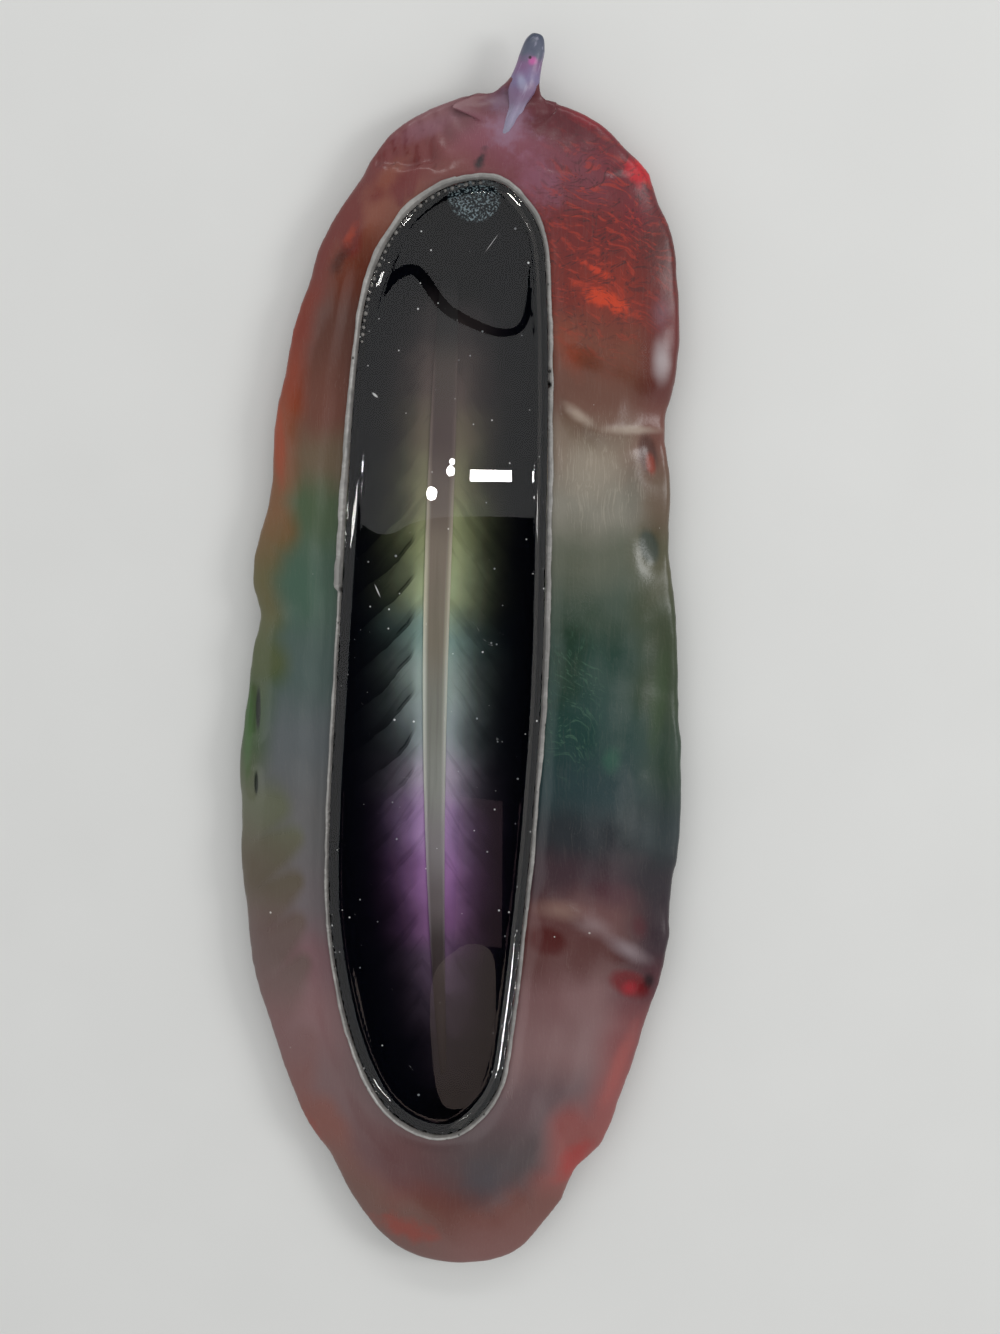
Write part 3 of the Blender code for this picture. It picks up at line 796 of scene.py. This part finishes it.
def rib_x(y):
    return RIB_X + RIB_BEND * (np.clip(RIB_BEND_Y - y, 0, None) / RIB_BEND_LENGTH) ** 2


def rib_half(y):
    return RIB_HALF + RIB_FLARE * y


def wall_distance(z):
    """How far inside the oval the well's wall stands at a height, in mm."""
    return np.interp(z, [WELL_FLOOR_Z, SEAT_Z], [WELL_FLOOR_INSET, LIP_HALF])


core = cad_copy("black_cast_core", "black_core")
choose_only(core)
bpy.ops.object.mode_set(mode="EDIT")
bpy.ops.mesh.select_all(action="SELECT")
bpy.ops.mesh.bisect(plane_co=(0, 0, CORE_CUT_Z * MM), plane_no=(0, 0, 1), use_fill=True, clear_outer=True)
bpy.ops.mesh.select_all(action="DESELECT")
bpy.ops.object.mode_set(mode="OBJECT")
for face in core.data.polygons:
    face.select = face.center.z > (CORE_CUT_Z - 0.01) * MM
bpy.ops.object.mode_set(mode="EDIT")
raised = (0, 0, (CORE_FACE_Z - CORE_CUT_Z) * MM)
bpy.ops.mesh.extrude_region_move(TRANSFORM_OT_translate={"value": raised})
bpy.ops.object.mode_set(mode="OBJECT")
finish_modifier(core, "REMESH", mode="VOXEL", voxel_size=CORE_VOXEL, adaptivity=0)
finish_modifier(core, "SMOOTH", factor=0.5, iterations=4)
points = points_mm(core)
top = smooth(0.2, 0.7, normals_of(core)[:, 2]) * (points[:, 2] > 6.2)
inset, near, away = beside(points[:, :2], oval)
from_rib = np.clip(np.abs(points[:, 0] - rib_x(points[:, 1])) - rib_half(points[:, 1]), 0, None)
slope = VEIN_FALL * (np.clip(from_rib - VEIN_START, 0, None) / VEIN_REACH) ** VEIN_CURVE
slope += VEIN_SLANT * from_rib
furrow = np.maximum(np.cos((VEIN_TOP - points[:, 1] - slope) / VEIN_PITCH * math.tau), 0) ** 4
relief = 0.12 * smooth(0.8, 2.4, from_rib) * smooth(7.0, 3.0, from_rib) * (1 - furrow)
relief -= 0.1 * smooth(0.5, 0.1, from_rib)
points[:, 2] += top * (relief + BANK_RISE * smooth(-4.4, -2.2, inset))

# Up to the well's wall, but for a hair's breadth, so that the faces never lie together.
outer = smooth(-3.2, -2.2, inset) * smooth(6.0, 7.0, points[:, 2])
room = -inset - wall_distance(points[:, 2]) - CORE_GAP
points[:, :2] += away * (np.clip(room, 0, 0.9) * outer)[:, None]
place_points(core, points)

# Glow: how strongly the mica shows, from the midrib outward, broken by painted shade at the side veins.
GLOW_AND_VEIN_SHADE, enter, leave = group(
    "midrib_glow",
    {"Place": (0.0, 0.0, 0.0), "Spread": 0.0041, "Vein Pitch": VEIN_PITCH * MM, "Left Depth": 0.95,
     "Right Depth": 0.12},
)
x, y, z = apart(GLOW_AND_VEIN_SHADE, enter["Place"])
wobble = times(GLOW_AND_VEIN_SHADE, minus(GLOW_AND_VEIN_SHADE, cloudy(GLOW_AND_VEIN_SHADE, enter["Place"], 110.0, 3.0), 0.5), 0.004)

# The same midrib as rib_x and rib_half give, and how far outside it a place lies.
below = maths(GLOW_AND_VEIN_SHADE, "MAXIMUM", minus(GLOW_AND_VEIN_SHADE, RIB_BEND_Y * MM, y), 0.0)
bent = maths(GLOW_AND_VEIN_SHADE, "POWER", maths(GLOW_AND_VEIN_SHADE, "DIVIDE", below, RIB_BEND_LENGTH * MM), 2.0)
beside_axis = minus(GLOW_AND_VEIN_SHADE, x, plus(GLOW_AND_VEIN_SHADE, times(GLOW_AND_VEIN_SHADE, bent, RIB_BEND * MM), RIB_X * MM))
half = plus(GLOW_AND_VEIN_SHADE, times(GLOW_AND_VEIN_SHADE, y, RIB_FLARE), RIB_HALF * MM)
outside = maths(GLOW_AND_VEIN_SHADE, "MAXIMUM", minus(GLOW_AND_VEIN_SHADE, maths(GLOW_AND_VEIN_SHADE, "ABSOLUTE", beside_axis), half), 0.0)

# The side veins run outward and toward the tip, and the distance down the leaf follows them.  It
# starts a whole number of veins above the leaf, so that it is never negative.
started = maths(GLOW_AND_VEIN_SHADE, "MAXIMUM", minus(GLOW_AND_VEIN_SHADE, outside, VEIN_START * MM), 0.0)
steep = maths(GLOW_AND_VEIN_SHADE, "POWER", maths(GLOW_AND_VEIN_SHADE, "DIVIDE", started, VEIN_REACH * MM), VEIN_CURVE)
slanted = plus(GLOW_AND_VEIN_SHADE, times(GLOW_AND_VEIN_SHADE, outside, VEIN_SLANT), wobble)
fallen = plus(GLOW_AND_VEIN_SHADE, times(GLOW_AND_VEIN_SHADE, steep, VEIN_FALL * MM), slanted)
FAR_ABOVE = 1000.0 * VEIN_PITCH * MM + VEIN_TOP * MM
height = minus(GLOW_AND_VEIN_SHADE, minus(GLOW_AND_VEIN_SHADE, FAR_ABOVE, y), fallen)
phase = maths(GLOW_AND_VEIN_SHADE, "FRACT", maths(GLOW_AND_VEIN_SHADE, "DIVIDE", height, enter["Vein Pitch"]))

# Painted shade of the side veins: from each vein to the next it darkens to a slit, much more on the left
# than on the right.
shade_below = maths(GLOW_AND_VEIN_SHADE, "POWER", phase, 1.5)
slit_shade = between(GLOW_AND_VEIN_SHADE, maths(GLOW_AND_VEIN_SHADE, "ABSOLUTE", minus(GLOW_AND_VEIN_SHADE, phase, 0.88)), 0.0, 0.12, 0.9, 0.0)
slit_shade = times(GLOW_AND_VEIN_SHADE, slit_shade, between(GLOW_AND_VEIN_SHADE, outside, 0.0045, 0.0070, 1.0, 0.2))
dark = maths(GLOW_AND_VEIN_SHADE, "MAXIMUM", times(GLOW_AND_VEIN_SHADE, shade_below, 0.75), slit_shade)
on_right = between(GLOW_AND_VEIN_SHADE, beside_axis, -0.001, 0.001)
above_tip = between(GLOW_AND_VEIN_SHADE, y, -0.030, -0.012)
middle_part = times(GLOW_AND_VEIN_SHADE, above_tip, between(GLOW_AND_VEIN_SHADE, y, 0.038, 0.026))
left_depth = times(GLOW_AND_VEIN_SHADE, enter["Left Depth"], plus(GLOW_AND_VEIN_SHADE, times(GLOW_AND_VEIN_SHADE, middle_part, 0.75), 0.25))
depth = add(GLOW_AND_VEIN_SHADE, "ShaderNodeMix", {0: on_right, 2: left_depth, 3: enter["Right Depth"]}).outputs[0]
dark = times(GLOW_AND_VEIN_SHADE, times(GLOW_AND_VEIN_SHADE, dark, depth), between(GLOW_AND_VEIN_SHADE, outside, 0.0010, 0.0030))
falling = maths(GLOW_AND_VEIN_SHADE, "DIVIDE", plus(GLOW_AND_VEIN_SHADE, outside, wobble), enter["Spread"])
falling = maths(GLOW_AND_VEIN_SHADE, "MAXIMUM", maths(GLOW_AND_VEIN_SHADE, "POWER", falling, 1.45), 0.0)
fall = maths(GLOW_AND_VEIN_SHADE, "EXPONENT", times(GLOW_AND_VEIN_SHADE, falling, -1.0))
GLOW_AND_VEIN_SHADE.links.new(times(GLOW_AND_VEIN_SHADE, fall, minus(GLOW_AND_VEIN_SHADE, 1.0, dark)), leave[0])

# The mica's colours along the midrib.
MICA_BANDS = [
    (-90, "050507"), (-78, "17131a"), (-70, "362d38"), (-60, "554558"), (-50, "7c5880"), (-40, "9a70a2"),
    (-30, "aa8ab6"), (-20, "afa4b6"), (-10, "99a4a6"), (0, "9eada8"), (10, "88a19a"), (20, "a6b18c"),
    (30, "959c74"), (40, "7e7c60"), (50, "695f4f"), (60, "564945"), (70, "302a2a"), (82, "08080a"),
]


def glow_and_vein_shade_colour(tree, place):
    """Black resin with the mica's coloured glow along the midrib, and painted shade at the side veins."""
    x, y, z = apart(tree, place)
    cloud = cloudy(tree, place, 80.0, 4.0)
    drift = times(tree, minus(tree, cloud, 0.5), 0.012)
    along = length_share(tree, y, drift)
    glow = placed(tree, GLOW_AND_VEIN_SHADE, Place=place)
    colour = mixed(tree, glow, linear("04050a"), wash(tree, along, MICA_BANDS))
    aside = maths(tree, "ABSOLUTE", minus(tree, x, RIB_X * MM))
    same_both_sides = add(tree, "ShaderNodeCombineXYZ", {0: aside, 1: y, 2: z}).outputs[0]
    feather = placed(
        tree, STROKES, Place=same_both_sides, Turn=0.95, Fineness=520.0, Length=12.0, Curl=0.002, Share=0.5,
    )
    colour = mixed(tree, times(tree, feather, 0.16), colour, linear("08080c"))
    return colour, cloud


black_mica, tree, shader, place = new_material("black_mica_resin")
colour, cloud = glow_and_vein_shade_colour(tree, place)
sparkle = placed(tree, FLECKS, Place=place, Density=900.0, Share=0.02, Fleck_Size=0.22)
colour = mixed(tree, times(tree, sparkle, 0.5), colour, linear("c8ccd0"))

# A pinch of silver glitter lies at the stem end.
GLITTER_AT = (-1.5, 96.8)
GLITTER_SIZE = (5.4, 5.2)
glitter_spot = oval_mask(tree, place, GLITTER_AT, GLITTER_SIZE, Softness=0.15, Tear=0.15)
glitter = cloudy(tree, place, 2300.0, 2.0)
silver = mixed(tree, between(tree, glitter, 0.5, 0.62), linear("12181d"), linear("84959b"))
colour = mixed(tree, glitter_spot, colour, silver)
tree.links.new(colour, shader.inputs["Base Color"])
tree.links.new(plus(tree, times(tree, cloud, 0.1), 0.4), shader.inputs["Roughness"])
shader.inputs["Specular IOR Level"].default_value = 0.0
core.data.materials.append(black_mica)
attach(core, "casting")
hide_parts("black_core")

# ---------------------------------------------------------------- midrib
# The leaf's midrib in the casting: a tapering strip of grey pearl resin with paler edges,
# set into the core.

RIB_LIFT = 0.35
RIB_TOP_Z = 8.1
rib = cad_copy("pearl_midrib", "midrib_inlay")
finish_modifier(rib, "SUBSURF", levels=2, render_levels=2)
points = points_mm(rib)
points[:, 2] += RIB_LIFT
points[:, 2] = np.clip(points[:, 2], None, RIB_TOP_Z)
store(rib, "across", (points[:, 0] - rib_x(points[:, 1])) / rib_half(points[:, 1]))
place_points(rib, points)

# The strip's colours along its middle, and those along its paler edges.
RIB_BANDS = [
    (-88, "050507"), (-78, "1c1617"), (-66, "2e2626"), (-56, "443c3c"), (-46, "6a6263"), (-34, "868182"),
    (-20, "90918b"), (-6, "87877f"), (10, "857d70"), (26, "887d72"), (38, "6c605a"), (50, "544644"),
    (62, "504642"), (72, "2a2828"), (82, "08080a"),
]
RIB_EDGE = [
    (-88, "050507"), (-72, "3a3138"), (-60, "6e616a"), (-48, "a294a0"), (-34, "cac2c6"), (-20, "d8d8d0"),
    (0, "e0e4d8"), (20, "e0dcc4"), (34, "c4baa8"), (48, "8a7a72"), (62, "7e6a66"), (74, "2a2626"),
    (82, "08080a"),
]
pearl, tree, shader, place = new_material("grey_pearl_resin")
along = length_share(tree, apart(tree, place)[1])
across_value = add(tree, "ShaderNodeAttribute", attribute_name="across").outputs["Fac"]
left_edge = between(tree, across_value, -0.95, -0.5, 1.0, 0.0)
right_edge = between(tree, across_value, 0.5, 1.0, 0.0, 0.6)
drawn = placed(tree, STROKES, Place=place, Turn=1.55, Fineness=420.0, Length=30.0, Curl=0.0005, Share=0.5)
edges = maths(tree, "MAXIMUM", left_edge, right_edge)
colour = mixed(tree, edges, wash(tree, along, RIB_BANDS), wash(tree, along, RIB_EDGE))
colour = mixed(tree, times(tree, drawn, 0.15), colour, linear("3c3836"))
tree.links.new(colour, shader.inputs["Base Color"])
tree.links.new(plus(tree, times(tree, drawn, 0.1), 0.35), shader.inputs["Roughness"])
shader.inputs["Specular IOR Level"].default_value = 0.0
rib.data.materials.append(pearl)
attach(rib, "casting")
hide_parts("midrib_inlay")

# ---------------------------------------------------------------- side veins
# Raised side veins of the leaf: short curved ribs of the same resin, dusted with the same
# mica as the core round them and given its painted shade, so that they show as soft ridges with a painted
# dark upper side.

VEIN_SINK = 0.16
VEIN_END_SINK = 0.35
dusted, tree, shader, place = new_material("dusted_vein_resin")
colour, cloud = glow_and_vein_shade_colour(tree, place)
tree.links.new(colour, shader.inputs["Base Color"])
tree.links.new(plus(tree, times(tree, cloud, 0.1), 0.36), shader.inputs["Roughness"])
shader.inputs["Specular IOR Level"].default_value = 0.0
for node in sorted(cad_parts):
    if not node.startswith("vein_"):
        continue
    vein = cad_copy("dusted_" + node, node)
    finish_modifier(vein, "SUBSURF", levels=2, render_levels=2)
    points = points_mm(vein)
    from_rib = np.abs(points[:, 0] - rib_x(points[:, 1])) - rib_half(points[:, 1])
    points[:, 1] -= VEIN_SLANT * np.clip(from_rib, 0, None)
    points[:, 2] -= VEIN_SINK + VEIN_END_SINK * smooth(1.5, 5.0, from_rib)
    place_points(vein, points)
    vein.data.materials.append(dusted)
    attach(vein, "casting")
    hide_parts(node)

# ---------------------------------------------------------------- clear top
# The last pour: clear resin that levelled itself to a mirror and crept up the well's wall
# in a meniscus.  It reaches down round the relief, so that no air lies between them.

CLEAR_VOXEL = 0.45 * MM
CLEAR_BOTTOM_Z = 6.6
RELIEF_TOP_Z = 8.4
UNDERSIDE_Z = 7.4
CLEAR_GAP = 0.05
RIM_GAP = 0.02
POUR_Z = 11.0
MENISCUS_RISE = 1.15
MENISCUS_REACH = 3.3
MENISCUS_TOP_INSET = 0.75

clear = cad_copy("clear_pour", "clear_top")
points = points_mm(clear)
points[:, 2] = np.where(points[:, 2] < RELIEF_TOP_Z, CLEAR_BOTTOM_Z, points[:, 2])
place_points(clear, points)
finish_modifier(clear, "REMESH", mode="VOXEL", voxel_size=CLEAR_VOXEL, adaptivity=0)
finish_modifier(clear, "SMOOTH", factor=0.5, iterations=3)
points = points_mm(clear)
normals = normals_of(clear)
inset, near, away = beside(points[:, :2], oval)
rim = np.where(points[:, 2] > SEAT_Z + 0.1, LIP_HALF + RIM_GAP, wall_distance(points[:, 2]) + CLEAR_GAP)
edge = smooth(-2.6, -1.2, inset) * smooth(7.2, 8.4, points[:, 2])
points[:, :2] += away * (np.clip(-inset - rim, 0, 0.6) * edge)[:, None]
inset = beside(points[:, :2], oval)[0]
upper = smooth(9.6, 10.2, points[:, 2]) * smooth(-0.1, 0.25, normals[:, 2])
creep = np.clip((inset + MENISCUS_REACH) / (MENISCUS_REACH - MENISCUS_TOP_INSET), 0, 1) ** 2.0
points[:, 2] = points[:, 2] * (1 - upper) + (POUR_Z + MENISCUS_RISE * creep) * upper
points[:, 2] = np.where(points[:, 2] < UNDERSIDE_Z, CLEAR_BOTTOM_Z, points[:, 2])
place_points(clear, points)

glass, tree, shader, place = new_material("clear_gloss_resin")
shader.inputs["Base Color"].default_value = (0.97, 0.98, 0.98, 1)
shader.inputs["Transmission Weight"].default_value = 1.0
shader.inputs["Roughness"].default_value = 0.0
shader.inputs["IOR"].default_value = 1.5
# Lint and hairs on the face are painted light: white specks that glow through the emission.
shader.inputs["Emission Strength"].default_value = 0.55
lint = placed(tree, FLECKS, Place=place, Density=520.0, Share=0.2, Fleck_Size=0.11)
threads = placed(tree, STROKES, Place=place, Turn=0.9, Fineness=700.0, Length=4.0, Curl=0.012, Share=0.02)
hairs = times(tree, threads, 0.35)

# Single hairs stuck in the face: (middle, half size, turn), in mm.
HAIRS = [
    ((-17.6, 18.6), (0.16, 1.7), 0.45),
    ((-19.4, 57.6), (0.3, 0.9), 0.9),
    ((2.4, 88.0), (0.06, 2.6), -0.6),
]
for centre, size, turn in HAIRS:
    hair = oval_mask(tree, place, centre, size, Turn=turn, Softness=0.6, Tear=0.0)
    hairs = maths(tree, "MAXIMUM", hairs, times(tree, hair, 0.8))
dust_and_glow = maths(tree, "MAXIMUM", lint, hairs)
tree.links.new(mixed(tree, dust_and_glow, (0.0, 0.0, 0.0), (1.0, 1.0, 1.0)), shader.inputs["Emission Color"])

# Light passes straight through to the resin under it, with no dark shadow of its own.
lamp_ray = tree.nodes.new("ShaderNodeLightPath").outputs["Is Shadow Ray"]
through = tree.nodes.new("ShaderNodeBsdfTransparent")
both = tree.nodes.new("ShaderNodeMixShader")
tree.links.new(lamp_ray, both.inputs[0])
tree.links.new(shader.outputs[0], both.inputs[1])
tree.links.new(through.outputs[0], both.inputs[2])
tree.links.new(both.outputs[0], tree.nodes["Material Output"].inputs["Surface"])
clear.data.materials.append(glass)
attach(clear, "casting")
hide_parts("clear_top")

# ---------------------------------------------------------------- studio
# A pale plain floor, soft light from all round, a camera nearly over the leaf, and a few
# cards and small lamps that only show as reflections in the glossy face.

FLOOR_SIZE = 6.0
FLOOR_Z = -0.0002
bpy.context.scene.view_settings.view_transform = "Standard"
bpy.ops.object.select_all(action="DESELECT")
bpy.ops.mesh.primitive_plane_add(size=FLOOR_SIZE, location=(0, 0, FLOOR_Z))
floor = bpy.context.object
floor.name = "studio_floor"
floor_look, tree, shader, place = new_material("pale_floor")
soft = cloudy(tree, place, 30.0, 2.0)
tree.links.new(mixed(tree, soft, (0.70, 0.70, 0.68), (0.74, 0.74, 0.72)), shader.inputs["Base Color"])
shader.inputs["Roughness"].default_value = 0.8
floor.data.materials.append(floor_look)
floor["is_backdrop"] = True

EYE = Vector((0.0367, 0.0852, 0.4252))
TILT = (-11.0, 4.0)
ROLL = 2.6
LENS = 56.7
SENSOR = 36.0
camera_data = bpy.data.cameras.new("camera")
camera_data.lens = LENS
camera_data.sensor_width = SENSOR
camera = bpy.data.objects.new("camera", camera_data)
bpy.context.scene.collection.objects.link(camera)
turn = (
    Matrix.Rotation(math.radians(TILT[1]), 4, "Y")
    @ Matrix.Rotation(math.radians(TILT[0]), 4, "X")
    @ Matrix.Rotation(math.radians(ROLL), 4, "Z")
)
camera.matrix_world = Matrix.Translation(EYE) @ turn
bpy.context.scene.camera = camera

world = bpy.data.worlds.new("soft_room")
world.use_nodes = True
world.node_tree.nodes["Background"].inputs["Color"].default_value = (0.98, 0.99, 1.0, 1)
world.node_tree.nodes["Background"].inputs["Strength"].default_value = 0.70
bpy.context.scene.world = world


def soft_lamp(name, place, size, power):
    data = bpy.data.lights.new(name, "AREA")
    data.shape = "RECTANGLE"
    data.size, data.size_y = size
    data.energy = power
    lamp = bpy.data.objects.new(name, data)
    bpy.context.scene.collection.objects.link(lamp)
    lamp.location = place
    lamp.rotation_euler = (-Vector(place)).to_track_quat("-Z", "Y").to_euler()
    lamp.light_linking.receiver_collection = all_but_gloss


# The lamps light everything but the clear face, which has its own reflections.
all_but_gloss = bpy.data.collections.new("all_but_gloss")
all_but_gloss.objects.link(clear)
all_but_gloss.collection_objects[0].light_linking.link_state = "EXCLUDE"
soft_lamp("top_lamp", (0.05, 0.75, 0.55), (0.9, 0.12), 1.6)
soft_lamp("side_lamp", (0.75, 0.15, 0.6), (0.3, 0.3), 2.0)

CARD_HEIGHT = 0.60
FACE_Z = POUR_Z * MM


def seen_in_gloss(x_mm, y_mm):
    """Where a thing at card height stands, to be mirrored at this spot of the glossy face."""
    share = (CARD_HEIGHT - FACE_Z) / (EYE.z - FACE_Z)
    spot = Vector((x_mm * MM, y_mm * MM))
    return spot + (spot - EYE.xy) * share


def reflection_only(card, colour, strength):
    look = bpy.data.materials.new(card.name)
    look.use_nodes = True
    shine = look.node_tree.nodes.new("ShaderNodeEmission")
    shine.inputs["Color"].default_value = (*colour, 1)
    shine.inputs["Strength"].default_value = strength
    look.node_tree.links.new(shine.outputs[0], look.node_tree.nodes["Material Output"].inputs["Surface"])
    card.data.materials.append(look)
    for ray in ("camera", "diffuse", "transmission", "shadow", "volume_scatter"):
        setattr(card, "visible_" + ray, False)
    card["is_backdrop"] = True


def shape_in_gloss(name, outline_mm, drop):
    """A flat card whose mirror image in the face has this outline, in mm.

    A card with a larger drop, in metres, hangs under the others and hides them in the mirror.
    """
    data = bpy.data.meshes.new(name)
    corners = [(*seen_in_gloss(x, y), CARD_HEIGHT - drop) for x, y in outline_mm]
    data.from_pydata(corners, [], [tuple(range(len(corners)))])
    card = bpy.data.objects.new(name, data)
    bpy.context.scene.collection.objects.link(card)
    return card


def rounded(outline_mm, rounds=3):
    """The outline with its corners cut again and again, which rounds it."""
    points = [Vector(point) for point in outline_mm]
    for _ in range(rounds):
        pairs = list(zip(points, points[1:] + points[:1]))
        points = [q for a, b in pairs for q in (a * 0.75 + b * 0.25, a * 0.25 + b * 0.75)]
    return [tuple(point) for point in points]


# Cards for the dark end of the room and for patches of warm light, placed by their mirror images.
DARK_EDGE = [
    (-60, -260), (-60, 36), (-23, 34), (-19, 30), (-15, 30), (-11, 33), (-3, 34.6), (20, 35.2), (90, 35.2),
    (90, -260),
]
reflection_only(shape_in_gloss("dark_card", rounded(DARK_EDGE), 0.0), (0.004, 0.004, 0.005), 1.0)
WARM_SHAPE = [
    (-3.6, -60), (1, -55), (4, -53), (8.5, -53.5), (10, -58), (10.4, -73), (8, -85), (4, -90), (-1, -89),
    (-3.2, -74),
]
reflection_only(shape_in_gloss("warm_shape", rounded(WARM_SHAPE), 0.006), (1.0, 0.78, 0.70), 0.66)
PINK_BLOCK = [(1.0, -22.5), (9.6, -23.0), (10.8, -54), (1.0, -54)]
reflection_only(shape_in_gloss("pink_block", PINK_BLOCK, 0.003), (1.0, 0.62, 0.72), 0.30)
WARM_EDGE = [
    (-22.4, -55), (-19.4, -61), (-17.2, -71), (-13.2, -84), (-7.5, -90), (-14.8, -86.8), (-19.2, -75),
]
reflection_only(shape_in_gloss("warm_edge", rounded(WARM_EDGE), 0.004), (1.0, 0.80, 0.72), 0.8)

# The room's lamps: a tube, and three round ones as (x, y, half height).
LAMP_STRENGTH = 70.0
BAR = [(0.4, 44.2), (8.5, 44.5), (8.6, 42.3), (0.3, 41.9)]
reflection_only(shape_in_gloss("bar_lamp", BAR, 0.008), (1, 1, 1), LAMP_STRENGTH)
ROUND_LAMPS = [(-7.1, 39.1, 1.35), (-3.5, 43.8, 1.0), (-3.3, 45.6, 0.7)]
for number, (x, y, size) in enumerate(ROUND_LAMPS):
    angles = np.linspace(0, math.tau, 25)[:-1]
    ring = [(x + size * 0.8 * math.cos(a), y + size * math.sin(a)) for a in angles]
    reflection_only(shape_in_gloss(f"dot_lamp_{number + 1}", ring, 0.008), (1, 1, 1), LAMP_STRENGTH)

# A black lead hangs by the lamps, and its image winds across the stem end of the gloss.
LEAD = [
    (-20.8, 73.6), (-18.9, 76.5), (-16.5, 80.6), (-13.6, 82.4), (-11.5, 82.1), (-9.4, 79.5), (-6.2, 75.2),
    (-1.6, 72.9), (2.5, 71.4), (6.0, 70.8), (9.0, 71.9), (10.2, 75.0), (10.5, 80.4), (10.3, 87.6),
    (9.3, 91.5), (6.5, 95.0),
]
LEAD_HALF = [0.4, 0.7, 1.0, 1.15, 1.15, 1.1, 1.1, 0.95, 0.85, 0.8, 0.75, 0.7, 0.5, 0.35, 0.3, 0.2]
middle = np.array(LEAD)
ahead = np.gradient(middle, axis=0)
sideways = np.column_stack([-ahead[:, 1], ahead[:, 0]]) / np.linalg.norm(ahead, axis=1)[:, None]
halves = sideways * np.array(LEAD_HALF)[:, None]
both_sides = np.concatenate([middle + halves, (middle - halves)[::-1]])
reflection_only(shape_in_gloss("lead_shape", rounded(both_sides), 0.005), (0.003, 0.003, 0.004), 1.0)

LOW_LAMP_AWAY = 0.5


def low_lamp(name, bearing, height, width, tall, strength):
    """A lamp card turned to the leaf; bearing and height are its angles in degrees."""
    over_floor = LOW_LAMP_AWAY * math.cos(math.radians(height))
    spot = (
        over_floor * math.cos(math.radians(bearing)),
        over_floor * math.sin(math.radians(bearing)),
        LOW_LAMP_AWAY * math.sin(math.radians(height)),
    )
    turn = Vector(spot).to_track_quat("Z", "Y").to_euler()
    bpy.ops.object.select_all(action="DESELECT")
    bpy.ops.mesh.primitive_plane_add(size=1, location=spot, rotation=turn)
    made = bpy.context.object
    made.name = name
    made.scale = (width, tall, 1)
    made.light_linking.receiver_collection = gloss_only
    reflection_only(made, (1.0, 0.99, 0.96), strength)


gloss_only = bpy.data.collections.new("gloss_only")
gloss_only.objects.link(clear)
# Low lamps make arcs and streaks of light in the meniscus.
low_lamp("arc_lamp", 214, 34, 0.10, 0.05, 40.0)
low_lamp("near_lamp", -36, 34, 0.08, 0.05, 30.0)
low_lamp("end_lamp", 88, 34, 0.05, 0.05, 40.0)
low_lamp("left_streak_lamp", -8, 56, 0.016, 0.20, 20.0)
low_lamp("right_streak_lamp", 187, 56, 0.016, 0.16, 9.0)
low_lamp("side_card", 184, 54, 0.50, 0.24, 1.1)

bpy.context.view_layer.update()
low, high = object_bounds()
